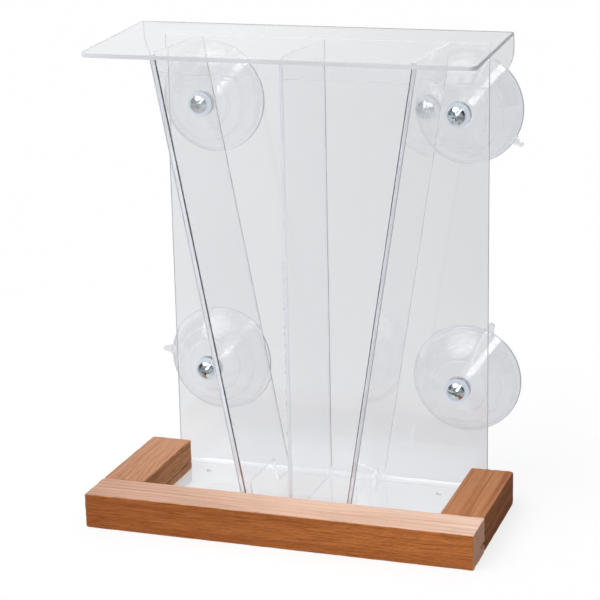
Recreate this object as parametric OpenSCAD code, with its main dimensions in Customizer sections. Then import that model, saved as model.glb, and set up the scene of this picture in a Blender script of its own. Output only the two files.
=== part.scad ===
// Window bird feeder: a clear V-shaped seed hopper on a cedar tray, with a lift-off roof.
// Four suction cups hold it to a window pane.
// Origin: middle of the front rail's underside. +X right, +Y towards the pane, +Z up.

/* [Cedar tray] */
// Overall width of the tray
tray_w = 305; // [290:1:340]
// Height of all three rails
rail_h = 27.5; // [22:0.5:34]
// Depth of the front rail, front to back
front_rail_d = 35.5; // [28:0.5:45]
// Width of each side rail
side_rail_w = 34; // [28:0.5:38]
// Length of each side rail, from the front rail back
side_rail_l = 97; // [85:1:120]
// Radius of the rails' worn long edges
rail_edge_r = 1.2; // [0.5:0.1:2.5]
// Height of the floor groove above the rails' underside
groove_z = 6.5; // [4:0.5:10]
// Depth of the floor groove into each rail
groove_d = 11.8; // [6:0.1:16]

/* [Clear sheets] */
// Thickness of every clear sheet
sheet_t = 3; // [2:0.5:4]
// Height of the back panel's top edge above the rails' underside
panel_top_z = 359; // [340:1:400]
// Inner radius of the bend between the floor and the back panel
back_bend_r = 4; // [3:0.5:8]
// Diameter of each drain hole in the floor
drain_d = 4; // [3:0.5:8]
// Distance of a drain hole from the side rail and from the back panel
drain_inset = 22; // [15:1:27]

/* [Seed hopper] */
// Width over the slanted side panels at their top edges
hopper_top_w = 202; // [170:1:204]
// Width over the slanted side panels at the floor
hopper_foot_w = 83; // [60:1:100]
// How far the hopper's foot stands to the right of the middle
hopper_foot_shift = 4.5; // [-6:0.5:6]
// Space between the front rail and the front panel
hopper_front_gap = 2.5; // [1:0.5:8]
// Length of the seed port cut in the foot of each side panel
port_l = 55; // [40:1:62]
// Height of each seed port
port_h = 18; // [12:0.5:30]
// Width of the foot left in front of each seed port
port_front_foot = 15; // [8:0.5:20]
// Radius of each seed port's top corners
port_corner_r = 3; // [1:0.5:5]

/* [Roof] */
// Width of the roof
roof_w = 298; // [280:1:340]
// Depth of the roof along its slope, over the flap
roof_d = 121.5; // [121:0.5:124]
// Overhang of the roof in front of the front panel
roof_overhang = 11.5; // [9.5:0.5:12.5]
// How far the loose roof lies to the right of the middle
roof_shift = -2.5; // [-5:0.5:5]
// Angle at which the roof slopes down to the front
roof_tilt = 4.2; // [2.5:0.1:4.6]
// Inner radius of the bend between the roof and its flap
roof_bend_r = 2; // [1.5:0.5:4]
// Radius of the roof's front corners
roof_corner_r = 7; // [3:0.5:15]
// Radius of the flap's lower corners
flap_corner_r = 30; // [15:1:33]

/* [Suction cups] */
// Rim diameter of a suction cup
cup_d = 88; // [80:1:90]
// Depth of a cup's dome, from its rim plane to its crown
cup_dome_h = 27.5; // [26.5:0.5:29]
// Wall of a cup at its rim
cup_rim_wall = 1.5; // [1:0.1:2.5]
// Wall of a cup at its crown
cup_crown_wall = 4.5; // [3.5:0.5:6]
// Radius of the inner moulded ring line round a cup's dome
ring_in_r = 21; // [16:0.5:25]
// Radius of the outer moulded ring line
ring_out_r = 31; // [27:0.5:36]
// Width of a moulded ring line
ring_w = 1; // [0.6:0.1:1.6]
// Diameter of a cup's neck
cup_neck_d = 19.6; // [16:0.2:24]
// Length of a cup's neck in front of its crown
cup_neck_l = 6; // [5:0.5:8]
// Space between an upper screw's head and the slanted side panel beside it
cup_side_gap = 5.3; // [3:0.1:10]
// Height of the lower cups' axes above the rails' underside
cup_low_z = 87.4; // [82:0.2:120]
// Height of the upper cups' axes above the rails' underside
cup_high_z = 306; // [300:0.5:320]
// Reach of a pull tab beyond the rim
tab_reach = 7.5; // [5:0.5:10]
// Width of a pull tab where it leaves the rim
tab_root_w = 10; // [8:0.5:14]
// Radius of a pull tab's tip
tab_tip_r = 2.4; // [1.5:0.1:3.5]
// Thickness of a pull tab
tab_t = 2; // [1.2:0.1:2.4]

/* [Cup screws] */
// Shank diameter of a cup screw
screw_d = 6; // [5:0.5:8]
// Head diameter of a cup screw
screw_head_d = 14; // [12:0.5:16]
// Height of a screw's head
screw_head_h = 4.3; // [3.5:0.1:5]
// Height of the straight band round a screw's head
screw_band_h = 1.2; // [0.8:0.1:2]
// Length of the cross recess in a screw's head, end to end
recess_l = 7.6; // [5:0.2:9]
// Width of each arm of the cross recess
recess_w = 1.7; // [1:0.1:2.4]
// Depth of the cross recess
recess_depth = 2.4; // [1.5:0.1:3]
// Length of thread held in a cup's neck
screw_grip = 7.5; // [5:0.5:8]

/* [Fits] */
// Play above and below the floor sheet in its grooves
groove_play = 0.1; // [0.05:0.05:0.3]
// Play between the floor sheet's edge and a groove's bottom
groove_end_play = 0.3; // [0.1:0.1:1]
// Space between the side rails' ends and the start of the back bend
bend_play = 0.5; // [0.2:0.1:2]
// Radial play of a screw in the back panel
screw_play = 0.4; // [0.2:0.1:1]
// Radial play of a screw's shank in its cup
thread_play = 0.05; // [0.02:0.01:0.1]
// Space between a turning face and the back panel
turn_play = 0.1; // [0.05:0.05:0.3]
// Space between the roof and the front panel's top edge
roof_seat_play = 0.1; // [0.05:0.05:0.3]
// Space between the roof's flap and the domes it leans on
flap_play = 0.3; // [0.1:0.1:0.5]

/* [Hidden] */
$fn = 96;
// Overlap that makes a cut break through a face
cut = 1;

cedar = [0.70, 0.42, 0.27];
clear_sheet = [0.84, 0.88, 0.92, 0.35];
clear_vinyl = [0.76, 0.84, 0.93, 0.45];
chrome_plate = [0.80, 0.82, 0.85];

// Depths, front to back
rail_front_y = -front_rail_d / 2;
rail_back_y = front_rail_d / 2;
side_end_y = rail_back_y + side_rail_l;
floor_flat_end_y = side_end_y + bend_play;
back_y = floor_flat_end_y + back_bend_r;
back_rear_y = back_y + sheet_t;
front_panel_y = rail_back_y + hopper_front_gap;
hopper_y = front_panel_y + sheet_t;
hopper_depth = back_y - hopper_y;

// Heights and widths of the tray
floor_z = groove_z + groove_play;
floor_top_z = floor_z + sheet_t;
groove_h = sheet_t + 2 * groove_play;
inner_half_w = tray_w / 2 - side_rail_w;
back_w = 2 * (inner_half_w + groove_d - groove_end_play);
floor_front_y = rail_back_y - groove_d + groove_end_play;

// Slanted side panels: X of the outer face at the floor and at the top; side is -1 or 1
function foot_x(side) = hopper_foot_shift + side * hopper_foot_w / 2;
function top_x(side) = side * hopper_top_w / 2;
function slant(side) = (top_x(side) - foot_x(side)) / (panel_top_z - floor_top_z);
function side_wall_w(side) = sheet_t * sqrt(1 + slant(side) * slant(side));

// Distance from the middle to each cup's axis, beside the hopper at the upper cups' height
function outer_x(side, z) = foot_x(side) + slant(side) * (z - floor_top_z);
cup_x = max(outer_x(1, cup_high_z), -outer_x(-1, cup_high_z)) + screw_head_d / 2 + cup_side_gap;

// Cup geometry, measured along Y from the back panel
cup_neck_y = back_rear_y + turn_play;
cup_crown_y = cup_neck_y + cup_neck_l;
window_y = cup_crown_y + cup_dome_h;
cup_rim_r = cup_d / 2;
dome_r = cap_radius(cup_rim_r, cup_dome_h);
hollow_h = cup_dome_h - cup_crown_wall;
hollow_rim_r = cup_rim_r - cup_rim_wall;
hollow_r = cap_radius(hollow_rim_r, hollow_h);
tab_centre_r = cup_rim_r + tab_reach - tab_tip_r;
tab_root_r = cup_rim_r - cup_rim_wall - tab_t / 2;
tab_lift = 0.5;
screw_bore_depth = screw_grip + 0.5;
screw_shank_l = turn_play + sheet_t + turn_play + screw_grip;

// Roof geometry in its own plane: u runs back along the slope and v up from its underside.
// The flap hangs until its lower edge rests against the domes of the upper cups.
flap_u = roof_d - roof_overhang;
flap_top = roof_point(flap_u, sheet_t);
flap_down = [sin(roof_tilt), -cos(roof_tilt)];
to_dome = flap_top - [window_y - cup_dome_h + dome_r, cup_high_z];
along = flap_down * to_dome;
flap_h = -along - sqrt(along * along - to_dome * to_dome + pow(dome_r + flap_play, 2));

// Radius of the sphere under a cap of the given base radius and height
function cap_radius(base_r, h) = (base_r * base_r + h * h) / (2 * h);

// Point of the roof's section in the feeder's Y and Z
function roof_point(u, v) = [front_panel_y + u * cos(roof_tilt) - v * sin(roof_tilt),
                             panel_top_z + roof_seat_play + u * sin(roof_tilt) + v * cos(roof_tilt)];

// Bar along X with rounded long edges, front face at y = 0 and underside at z = 0
module rounded_bar(l, d, h) {
    r = rail_edge_r;
    rotate([90, 0, 90]) linear_extrude(l, center = true) {
        translate([r, 0]) square([d - 2 * r, h]);
        translate([0, r]) square([d, h - 2 * r]);
        for (y = [r, d - r], z = [r, h - r]) translate([y, z]) circle(r);
    }
}

// Front rail, with the floor groove open at both of its ends
module front_rail() {
    color(cedar) difference() {
        translate([0, rail_front_y, 0]) rounded_bar(tray_w, front_rail_d, rail_h);
        translate([-tray_w / 2 - cut, rail_back_y - groove_d, groove_z])
            cube([tray_w + 2 * cut, groove_d + cut, groove_h]);
    }
}

// Side rail; side is -1 for the left one and 1 for the right one
module side_rail(side) {
    color(cedar) difference() {
        translate([side * (inner_half_w + side_rail_w / 2), rail_back_y + side_rail_l / 2, 0]) rotate([0, 0, 90])
            translate([0, -side_rail_w / 2, 0]) rounded_bar(side_rail_l, side_rail_w, rail_h);
        translate([side * (inner_half_w + (groove_d - cut) / 2), rail_back_y + side_rail_l / 2,
                   groove_z + groove_h / 2])
            cube([groove_d + cut, side_rail_l + 2 * cut, groove_h], center = true);
    }
}

// Floor and back panel: one sheet with a single bend
module back_panel() {
    color(clear_sheet) difference() {
        union() {
            translate([-back_w / 2, back_y, floor_top_z + back_bend_r])
                cube([back_w, sheet_t, panel_top_z - floor_top_z - back_bend_r]);
            translate([-back_w / 2, floor_front_y, floor_z])
                cube([back_w, floor_flat_end_y - floor_front_y, sheet_t]);
            translate([0, floor_flat_end_y, floor_top_z + back_bend_r]) sheet_bend(back_w, back_bend_r);
        }
        for (x = [-cup_x, cup_x], z = [cup_low_z, cup_high_z])
            translate([x, back_y - cut, z]) rotate([-90, 0, 0])
                cylinder(r = screw_d / 2 + screw_play, h = sheet_t + 2 * cut);
        for (side = [-1, 1])
            translate([side * (inner_half_w - drain_inset), back_y - drain_inset, floor_z - cut])
                cylinder(d = drain_d, h = sheet_t + 2 * cut);
    }
}

// Quarter bend of a sheet about the X axis, from pointing down to pointing back
module sheet_bend(w, inner_r) {
    outer_r = inner_r + sheet_t;
    rotate([90, 0, 90]) linear_extrude(w, center = true) intersection() {
        difference() {
            circle(outer_r);
            circle(inner_r);
        }
        translate([0, -outer_r]) square(outer_r);
    }
}

// Front panel, flush with the outer faces of the slanted side panels
module front_panel() {
    color(clear_sheet) translate([0, front_panel_y + sheet_t, 0]) rotate([90, 0, 0]) linear_extrude(sheet_t)
        polygon([[foot_x(-1), floor_top_z], [foot_x(1), floor_top_z],
                 [top_x(1), panel_top_z], [top_x(-1), panel_top_z]]);
}

// Slanted side panel with a seed port in its foot; side is -1 for left and 1 for right
module side_panel(side) {
    color(clear_sheet) difference() {
        translate([0, back_y, 0]) rotate([90, 0, 0]) linear_extrude(hopper_depth)
            polygon([[foot_x(side), floor_top_z], [top_x(side), panel_top_z],
                     [top_x(side) - side * side_wall_w(side), panel_top_z],
                     [foot_x(side) - side * side_wall_w(side), floor_top_z]]);
        translate([foot_x(side), hopper_y + port_front_foot, floor_top_z]) seed_port();
        bend_relief();
    }
}

// Cutter for a seed port, with round top corners
module seed_port() {
    r = port_corner_r;
    rotate([90, 0, 90]) linear_extrude(hopper_foot_w / 2, center = true) {
        translate([0, -cut]) square([port_l, port_h - r + cut]);
        translate([r, 0]) square([port_l - 2 * r, port_h]);
        for (y = [r, port_l - r]) translate([y, port_h - r]) circle(r);
    }
}

// Cutter that takes a sheet's lower rear corner clear of the back bend
module bend_relief() {
    leg = back_bend_r + 0.3;
    rotate([90, 0, 90]) linear_extrude(hopper_top_w, center = true)
        polygon([[back_y - leg, floor_top_z], [back_y - leg - cut, floor_top_z - cut],
                 [back_y + cut, floor_top_z - cut], [back_y + cut, floor_top_z + leg + cut],
                 [back_y, floor_top_z + leg]]);
}

// Upright divider between the two seed chambers
module center_divider() {
    color(clear_sheet) difference() {
        translate([-sheet_t / 2, hopper_y, floor_top_z])
            cube([sheet_t, hopper_depth, panel_top_z - floor_top_z]);
        bend_relief();
    }
}

// Lift-off roof: one sheet bent down at the back into a flap behind the back panel
module roof() {
    bend_outer = roof_bend_r + sheet_t;
    color(clear_sheet) translate([roof_shift, front_panel_y, panel_top_z + roof_seat_play])
        rotate([roof_tilt, 0, 0])
        difference() {
            union() {
                translate([-roof_w / 2, -roof_overhang, 0]) cube([roof_w, roof_d - bend_outer, sheet_t]);
                translate([0, flap_u - bend_outer, -roof_bend_r]) rotate([90, 0, 0])
                    sheet_bend(roof_w, roof_bend_r);
                translate([-roof_w / 2, flap_u - sheet_t, sheet_t - flap_h])
                    cube([roof_w, sheet_t, flap_h - bend_outer]);
            }
            for (side = [-1, 1]) {
                translate([side * roof_w / 2, -roof_overhang, -cut])
                    corner_cut(-side, 1, roof_corner_r, sheet_t + 2 * cut);
                translate([side * roof_w / 2, flap_u + cut, sheet_t - flap_h]) rotate([90, 0, 0])
                    corner_cut(-side, 1, flap_corner_r, sheet_t + 2 * cut);
            }
        }
}

// Cutter that rounds a plate's corner; in_x and in_y point into the plate
module corner_cut(in_x, in_y, r, h) {
    difference() {
        translate([in_x > 0 ? -cut : -r, in_y > 0 ? -cut : -r, 0]) cube([r + cut, r + cut, h]);
        translate([in_x * r, in_y * r, -cut]) cylinder(r = r, h = h + 2 * cut);
    }
}

// Suction cup: neck against the back panel, open dome towards the pane, tab at the given angle
module suction_cup(x, z, tab_angle) {
    color(clear_vinyl) translate([x, cup_neck_y, z]) rotate([-90, 0, 0]) {
        difference() {
            union() {
                cylinder(d = cup_neck_d, h = cup_neck_l + cup_crown_wall);
                translate([0, 0, cup_neck_l]) dome_shell();
            }
            translate([0, 0, -cut]) cylinder(r = screw_d / 2 + thread_play, h = screw_bore_depth + cut);
        }
        translate([0, 0, cup_neck_l + cup_dome_h - tab_lift - tab_t]) rotate([0, 0, -tab_angle]) pull_tab();
    }
}

// Dome of a cup, crown at z = 0 and flat rim at z = cup_dome_h
module dome_shell() {
    rotate_extrude() intersection() {
        difference() {
            translate([0, dome_r]) circle(dome_r, $fn = 180);
            translate([0, cup_crown_wall + hollow_r]) circle(hollow_r, $fn = 180);
        }
        square([cup_rim_r, cup_dome_h]);
        ring_lines();
    }
}

// All of a cup's section but for the ring lines sunk in the outside of its dome
module ring_lines() {
    difference() {
        square([cup_rim_r, cup_dome_h]);
        for (r = [ring_in_r, ring_out_r])
            translate([r, dome_r - sqrt(dome_r * dome_r - r * r)]) circle(d = ring_w, $fn = 24);
    }
}

// Pull tab along +X, grown out of the wall at the rim
module pull_tab() {
    linear_extrude(tab_t) {
        polygon([[tab_root_r, -tab_root_w / 2], [tab_centre_r, -tab_tip_r],
                 [tab_centre_r, tab_tip_r], [tab_root_r, tab_root_w / 2]]);
        translate([tab_centre_r, 0]) circle(tab_tip_r);
    }
}

// Cup screw, driven from the front through the back panel into a cup's neck
module cup_screw(x, z) {
    crown_h = screw_head_h - screw_band_h;
    crown_r = cap_radius(screw_head_d / 2, crown_h);
    color(chrome_plate) translate([x, back_y - turn_play, z]) rotate([-90, 0, 0]) {
        cylinder(d = screw_d, h = screw_shank_l);
        difference() {
            intersection() {
                translate([0, 0, crown_r - screw_head_h]) sphere(crown_r);
                translate([0, 0, -screw_head_h]) cylinder(d = screw_head_d, h = screw_head_h);
            }
            for (turn = [0, 90]) rotate([0, 0, turn + 20])
                translate([-recess_l / 2, -recess_w / 2, -screw_head_h - cut])
                    cube([recess_l, recess_w, recess_depth + cut]);
        }
    }
}

front_rail();
side_rail(-1);  // left_rail
side_rail(1);  // right_rail
back_panel();
front_panel();
side_panel(-1);  // left_side_panel
side_panel(1);  // right_side_panel
center_divider();
roof();
suction_cup(-cup_x, cup_high_z, 160);  // upper_left_cup
suction_cup(cup_x, cup_high_z, -32);  // upper_right_cup
suction_cup(-cup_x, cup_low_z, 175);  // lower_left_cup
suction_cup(cup_x, cup_low_z, 66);  // lower_right_cup
cup_screw(-cup_x, cup_high_z);  // upper_left_screw
cup_screw(cup_x, cup_high_z);  // upper_right_screw
cup_screw(-cup_x, cup_low_z);  // lower_left_screw
cup_screw(cup_x, cup_low_z);  // lower_right_screw
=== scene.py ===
"""Window bird feeder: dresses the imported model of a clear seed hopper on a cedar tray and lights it."""

import logging
import math
from dataclasses import dataclass, field, replace
from enum import Enum
from typing import Callable, NamedTuple, Sequence

import bmesh
import bpy
from mathutils import Matrix, Vector, noise


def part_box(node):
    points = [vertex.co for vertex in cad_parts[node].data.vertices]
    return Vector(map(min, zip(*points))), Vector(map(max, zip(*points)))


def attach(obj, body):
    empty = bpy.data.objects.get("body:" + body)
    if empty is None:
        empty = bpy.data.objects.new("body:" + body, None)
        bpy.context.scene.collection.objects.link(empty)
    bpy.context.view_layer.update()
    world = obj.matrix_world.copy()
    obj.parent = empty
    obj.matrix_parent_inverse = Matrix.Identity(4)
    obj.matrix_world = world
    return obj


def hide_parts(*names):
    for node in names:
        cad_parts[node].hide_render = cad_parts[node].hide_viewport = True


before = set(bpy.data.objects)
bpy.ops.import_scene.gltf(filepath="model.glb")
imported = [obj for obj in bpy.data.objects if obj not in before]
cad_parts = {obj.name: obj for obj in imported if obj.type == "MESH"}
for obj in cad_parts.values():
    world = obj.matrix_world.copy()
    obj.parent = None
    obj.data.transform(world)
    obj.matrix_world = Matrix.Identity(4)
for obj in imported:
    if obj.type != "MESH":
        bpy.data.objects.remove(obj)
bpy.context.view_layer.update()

log = logging.getLogger("feeder")

MM = 0.001
SHEET_T = 3 * MM
CUP_X = 104.957 * MM
LOW_CUP_Z = 87.4 * MM
HIGH_CUP_Z = 306 * MM

Point = tuple[float, float]
Loop = list[Point]
Colour = tuple[float, float, float]
Inputs = dict[str | int, object]


class Side(Enum):
    """The feeder's left and right, seen from the birds' side."""

    LEFT = -1
    RIGHT = 1

    @property
    def word(self) -> str:
        """The side's name in lower case."""
        return self.name.lower()


class Grain(Enum):
    """The way the wood's fibres run."""

    ALONG_X = 0
    ALONG_Y = 1


# Node helpers


class Nodes:
    """A node tree with short calls to add and join its nodes."""

    def __init__(self, tree: bpy.types.NodeTree) -> None:
        """Keeps a tree, emptied.

        Args:
            tree: the tree.
        """
        self.tree = tree
        self.tree.nodes.clear()

    def put(self, socket: bpy.types.NodeSocket, value: object) -> None:
        """Links a socket to another one, or sets its value.

        Args:
            socket: the input socket.
            value: an output socket, a number, or a tuple of numbers.
        """
        if isinstance(value, bpy.types.NodeSocket):
            self.tree.links.new(value, socket)
        elif isinstance(value, tuple) and socket.type == "RGBA" and len(value) == 3:
            socket.default_value = (*value, 1.0)
        else:
            socket.default_value = value

    def add(self, kind: str, inputs: Inputs | None = None, **settings: object) -> bpy.types.Node:
        """Adds a node and joins its inputs.

        Args:
            kind: the node's full type name.
            inputs: sockets or values by input name or number.
            settings: properties of the node.

        Returns:
            The new node.
        """
        node = self.tree.nodes.new(kind)
        for key, value in settings.items():
            setattr(node, key, value)
        for key, value in (inputs or {}).items():
            self.put(node.inputs[key], value)
        return node

    def math(self, operation: str, *values: object) -> bpy.types.NodeSocket:
        """Adds a Math node and gives its output."""
        return self.add("ShaderNodeMath", dict(enumerate(values)), operation=operation).outputs[0]

    def split(self, vector: bpy.types.NodeSocket) -> tuple[bpy.types.NodeSocket, ...]:
        """Gives a vector's X, Y and Z."""
        return tuple(self.add("ShaderNodeSeparateXYZ", {0: vector}).outputs)

    def ramp(self, value: object, low: float, high: float, to_low: float = 0.0, to_high: float = 1.0,
             smooth: bool = True) -> bpy.types.NodeSocket:
        """Maps a value from one range to another.

        Args:
            value: the input socket.
            low: the input that gives to_low.
            high: the input that gives to_high.
            to_low: the output at low.
            to_high: the output at high.
            smooth: whether the change eases in and out.

        Returns:
            The mapped value.
        """
        return self.add("ShaderNodeMapRange", dict(enumerate((value, low, high, to_low, to_high))),
                        interpolation_type="SMOOTHSTEP" if smooth else "LINEAR").outputs[0]


class Shader(Nodes):
    """A material's node tree."""

    def __init__(self, name: str) -> None:
        """Starts an empty node material.

        Args:
            name: the material's name.
        """
        self.material = bpy.data.materials.new(name)
        self.material.use_nodes = True
        super().__init__(self.material.node_tree)

    def make(self, kind: str, inputs: Inputs | None = None, **settings: object) -> bpy.types.NodeSocket:
        """Adds a shader node and gives its first output.

        Args:
            kind: the node's type name without its ShaderNode prefix.
            inputs: sockets or values by input name or number.
            settings: properties of the node.

        Returns:
            The output.
        """
        return self.add("ShaderNode" + kind, inputs, **settings).outputs[0]

    def spot(self) -> bpy.types.NodeSocket:
        """Gives the Object coordinates."""
        return self.add("ShaderNodeTexCoord").outputs["Object"]

    def facing(self) -> tuple[bpy.types.NodeSocket, ...]:
        """Gives X, Y and Z of the surface's normal."""
        return self.split(self.add("ShaderNodeNewGeometry").outputs["Normal"])

    def blend(self, share: object, first: object, second: object) -> bpy.types.NodeSocket:
        """Mixes two colours.

        Args:
            share: how much of the second colour shows.
            first: the first colour.
            second: the second colour.

        Returns:
            The mixed colour.
        """
        return self.add("ShaderNodeMix", {"Factor": share, 6: first, 7: second}, data_type="RGBA").outputs[2]

    def noise(self, vector: object, scale: float, detail: float = 2.0,
              rough: float = 0.5) -> bpy.types.NodeSocket:
        """Adds a noise pattern.

        Args:
            vector: where it is read.
            scale: how fine it is.
            detail: how many finer layers it has.
            rough: how strong the finer layers are.

        Returns:
            The pattern's value.
        """
        return self.make("TexNoise", {"Vector": vector, "Scale": scale, "Detail": detail, "Roughness": rough})

    def place(self, stretch: tuple[float, float, float] = (1.0, 1.0, 1.0)) -> bpy.types.NodeSocket:
        """Gives Object coordinates, stretched by a factor for each axis."""
        return self.make("Mapping", {"Vector": self.spot(), "Scale": stretch})

    def bump(self, height: object, strength: float, depth: float,
             under: object = None) -> bpy.types.NodeSocket:
        """Turns a height into a change of the surface's normal.

        Args:
            height: the height's socket.
            strength: how much of it shows.
            depth: the height's scale in metres.
            under: a normal to start from.

        Returns:
            The changed normal.
        """
        inputs = {"Strength": strength, "Distance": depth, "Height": height}
        return self.make("Bump", inputs if under is None else {**inputs, "Normal": under})

    def finish(self, surface: bpy.types.NodeSocket) -> bpy.types.Material:
        """Joins the last shader to the output and gives the material."""
        self.add("ShaderNodeOutputMaterial", {"Surface": surface})
        return self.material


# Finishes


@dataclass(frozen=True)
class CedarFinish:
    """Planed cedar with growth rings, fibre streaks, worn edges and paler end grain, with a painted sheen and
    top light on faces turned up, and painted shade on one side where asked.
    """

    name: str
    grain: Grain
    box_low: tuple[float, float, float]
    box_high: tuple[float, float, float]
    pith: Point
    seed: float
    ring_mm: float
    early: Colour
    late: Colour
    dark: Colour
    worn_pale_and_sheen: Colour
    ring_share: float
    painted_sheen_share: float
    roughness: Point
    gloss: float
    run_darkening: Point
    band_share: float
    wander: float
    firm: float
    painted_sheen_run: Point = (1.0, 1.0)
    painted_side_shade: float = 0.0
    band_scale: float = 0.34
    end_early: Colour = (0.60, 0.33, 0.21)
    end_late: Colour = (0.30, 0.12, 0.07)

    def build(self) -> bpy.types.Material:
        """Builds the wood.

        Returns:
            The material.
        """
        s = Shader(self.name)
        spot = s.spot()
        here = s.split(spot)
        order = (0, 1, 2) if self.grain is Grain.ALONG_X else (1, 0, 2)
        run, across, up = (s.math("MULTIPLY", here[i], 1 / MM) for i in order)

        def stretched(along: float, beside: float, shift: float) -> bpy.types.NodeSocket:
            """Coordinates in which a pattern is drawn out along the grain."""
            return s.make("CombineXYZ", {
                0: s.math("MULTIPLY_ADD", run, along, self.seed + shift),
                1: s.math("MULTIPLY", across, beside), 2: s.math("MULTIPLY", up, beside)})

        fibre, slow = stretched(0.014, 0.9, 0.0), stretched(0.0055, 0.03, 7.0)
        pore_place = stretched(0.05, 1.8, 3.0)

        # Growth rings about a wandering pith
        bend = s.ramp(s.noise(slow, 1.0, 2.0), 0.2, 0.8, -self.wander, self.wander, smooth=False)
        side = s.math("ADD", s.math("SUBTRACT", across, self.pith[0]), bend)
        height = s.math("ADD", s.math("SUBTRACT", up, self.pith[1]), s.math("MULTIPLY", bend, 0.45))
        squares = s.math("ADD", s.math("MULTIPLY", side, side), s.math("MULTIPLY", height, height))
        reach = s.math("SQRT", squares)
        fuzz = s.noise(fibre, 1.0, 3.0)
        ring = s.math("FRACT", s.math("MULTIPLY_ADD", fuzz, 0.35, s.math("DIVIDE", reach, self.ring_mm)))
        late_wood = s.math("MULTIPLY", s.ramp(ring, 0.40, 0.90), s.ramp(ring, 0.92, 1.0, 1.0, 0.0))

        streak = s.noise(fibre, 2.4, 5.0, 0.65)
        hair = s.noise(fibre, 8.0, 4.0, 0.7)
        blotch = s.noise(slow, 0.9, 4.0, 0.55)
        band = s.ramp(s.noise(fibre, self.band_scale, 2.0, 0.5), 0.50, 0.62)
        pores = s.ramp(s.noise(pore_place, 1.6, 2.0, 0.5), 0.62, 0.71)

        tone = s.blend(s.math("MULTIPLY", late_wood, self.ring_share), self.early, self.late)
        tone = s.blend(s.math("MULTIPLY", band, self.band_share), tone, self.late)
        tone = s.blend(s.ramp(streak, 0.42, 0.68, 0.0, 0.9), tone, self.late)
        tone = s.blend(s.ramp(hair, 0.50, 0.66, 0.0, 0.75), tone, self.dark)
        tone = s.blend(s.math("MULTIPLY", pores, 0.8), tone, self.dark)
        # Darker towards one end of the rail
        tone = s.blend(s.ramp(run, -150.0, 150.0, *self.run_darkening, smooth=False), tone, self.dark)

        facing = s.facing()
        # Painted sheen and top light: faces turned up are blended towards a pale tone, the soft early wood
        # most
        painted_sheen = s.math("MULTIPLY", s.ramp(facing[2], 0.5, 0.95), s.ramp(blotch, 0.30, 0.68, 0.75, 1.0))
        painted_sheen = s.math("MULTIPLY", painted_sheen, s.ramp(run, -150.0, 150.0, *self.painted_sheen_run, smooth=False))
        firm_wood = s.math("MAXIMUM", late_wood, s.ramp(hair, 0.52, 0.64))
        soft_wood = s.math("MULTIPLY_ADD", firm_wood, -self.firm, 1.0)
        painted_sheen = s.math("MULTIPLY", painted_sheen, soft_wood)
        painted_sheen = s.math("MULTIPLY", painted_sheen, s.math("MULTIPLY_ADD", band, -0.8 * self.band_share, 1.0))
        tone = s.blend(s.math("MULTIPLY", painted_sheen, self.painted_sheen_share), tone, self.worn_pale_and_sheen)

        # Painted shade: faces turned towards +X are darkened, standing in for the shade on that side
        if self.painted_side_shade:
            turned = s.math("MULTIPLY", s.ramp(facing[0], 0.5, 0.9), self.painted_side_shade)
            tone = s.blend(turned, tone, self.dark)

        # Distance to the nearest edge, from the second smallest distance to a face
        gaps = [s.math("MINIMUM", s.math("SUBTRACT", at, low), s.math("SUBTRACT", high, at))
                for at, low, high in zip(here, self.box_low, self.box_high)]
        least = s.math("MINIMUM", gaps[0], gaps[1])
        most = s.math("MAXIMUM", gaps[0], gaps[1])
        edge = s.math("MAXIMUM", least, s.math("MINIMUM", most, gaps[2]))
        rub = s.math("MULTIPLY_ADD", s.noise(spot, 70.0, 4.0, 0.6), 1.6 * MM, edge)
        tone = s.blend(s.ramp(rub, 0.7 * MM, 1.4 * MM, 0.35, 0.0), tone, self.worn_pale_and_sheen)
        soil = s.math("MULTIPLY_ADD", s.noise(spot, 120.0, 3.0, 0.6), -3 * MM, edge)
        tone = s.blend(s.ramp(soil, -1.6 * MM, -0.8 * MM, 0.3, 0.0), tone, self.dark)

        end_grain = s.ramp(s.math("ABSOLUTE", facing[order[0]]), 0.8, 0.95)
        ends = s.blend(s.math("MULTIPLY", late_wood, 0.55), self.end_early, self.end_late)
        tone = s.blend(s.math("MULTIPLY", end_grain, 0.85), tone, ends)

        relief = s.math("ADD", s.math("MULTIPLY", late_wood, 0.6), s.math("MULTIPLY", hair, 0.8))
        relief = s.math("SUBTRACT", relief, s.math("MULTIPLY", pores, 0.8))
        coarse = s.bump(s.noise(slow, 3.0, 2.0), 0.4, 0.8 * MM)
        return s.finish(s.make("BsdfPrincipled", {
            "Base Color": tone, "Specular IOR Level": self.gloss,
            "Roughness": s.ramp(streak, 0.3, 0.75, *self.roughness, smooth=False),
            "Normal": s.bump(relief, 0.8, 0.25 * MM, coarse)}))


class SheetPart(Enum):
    """The surfaces of a clear sheet."""

    FACE = 0
    EDGE = 1
    FRONT_EDGE = 2
    PORT_EDGE = 3


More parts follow.
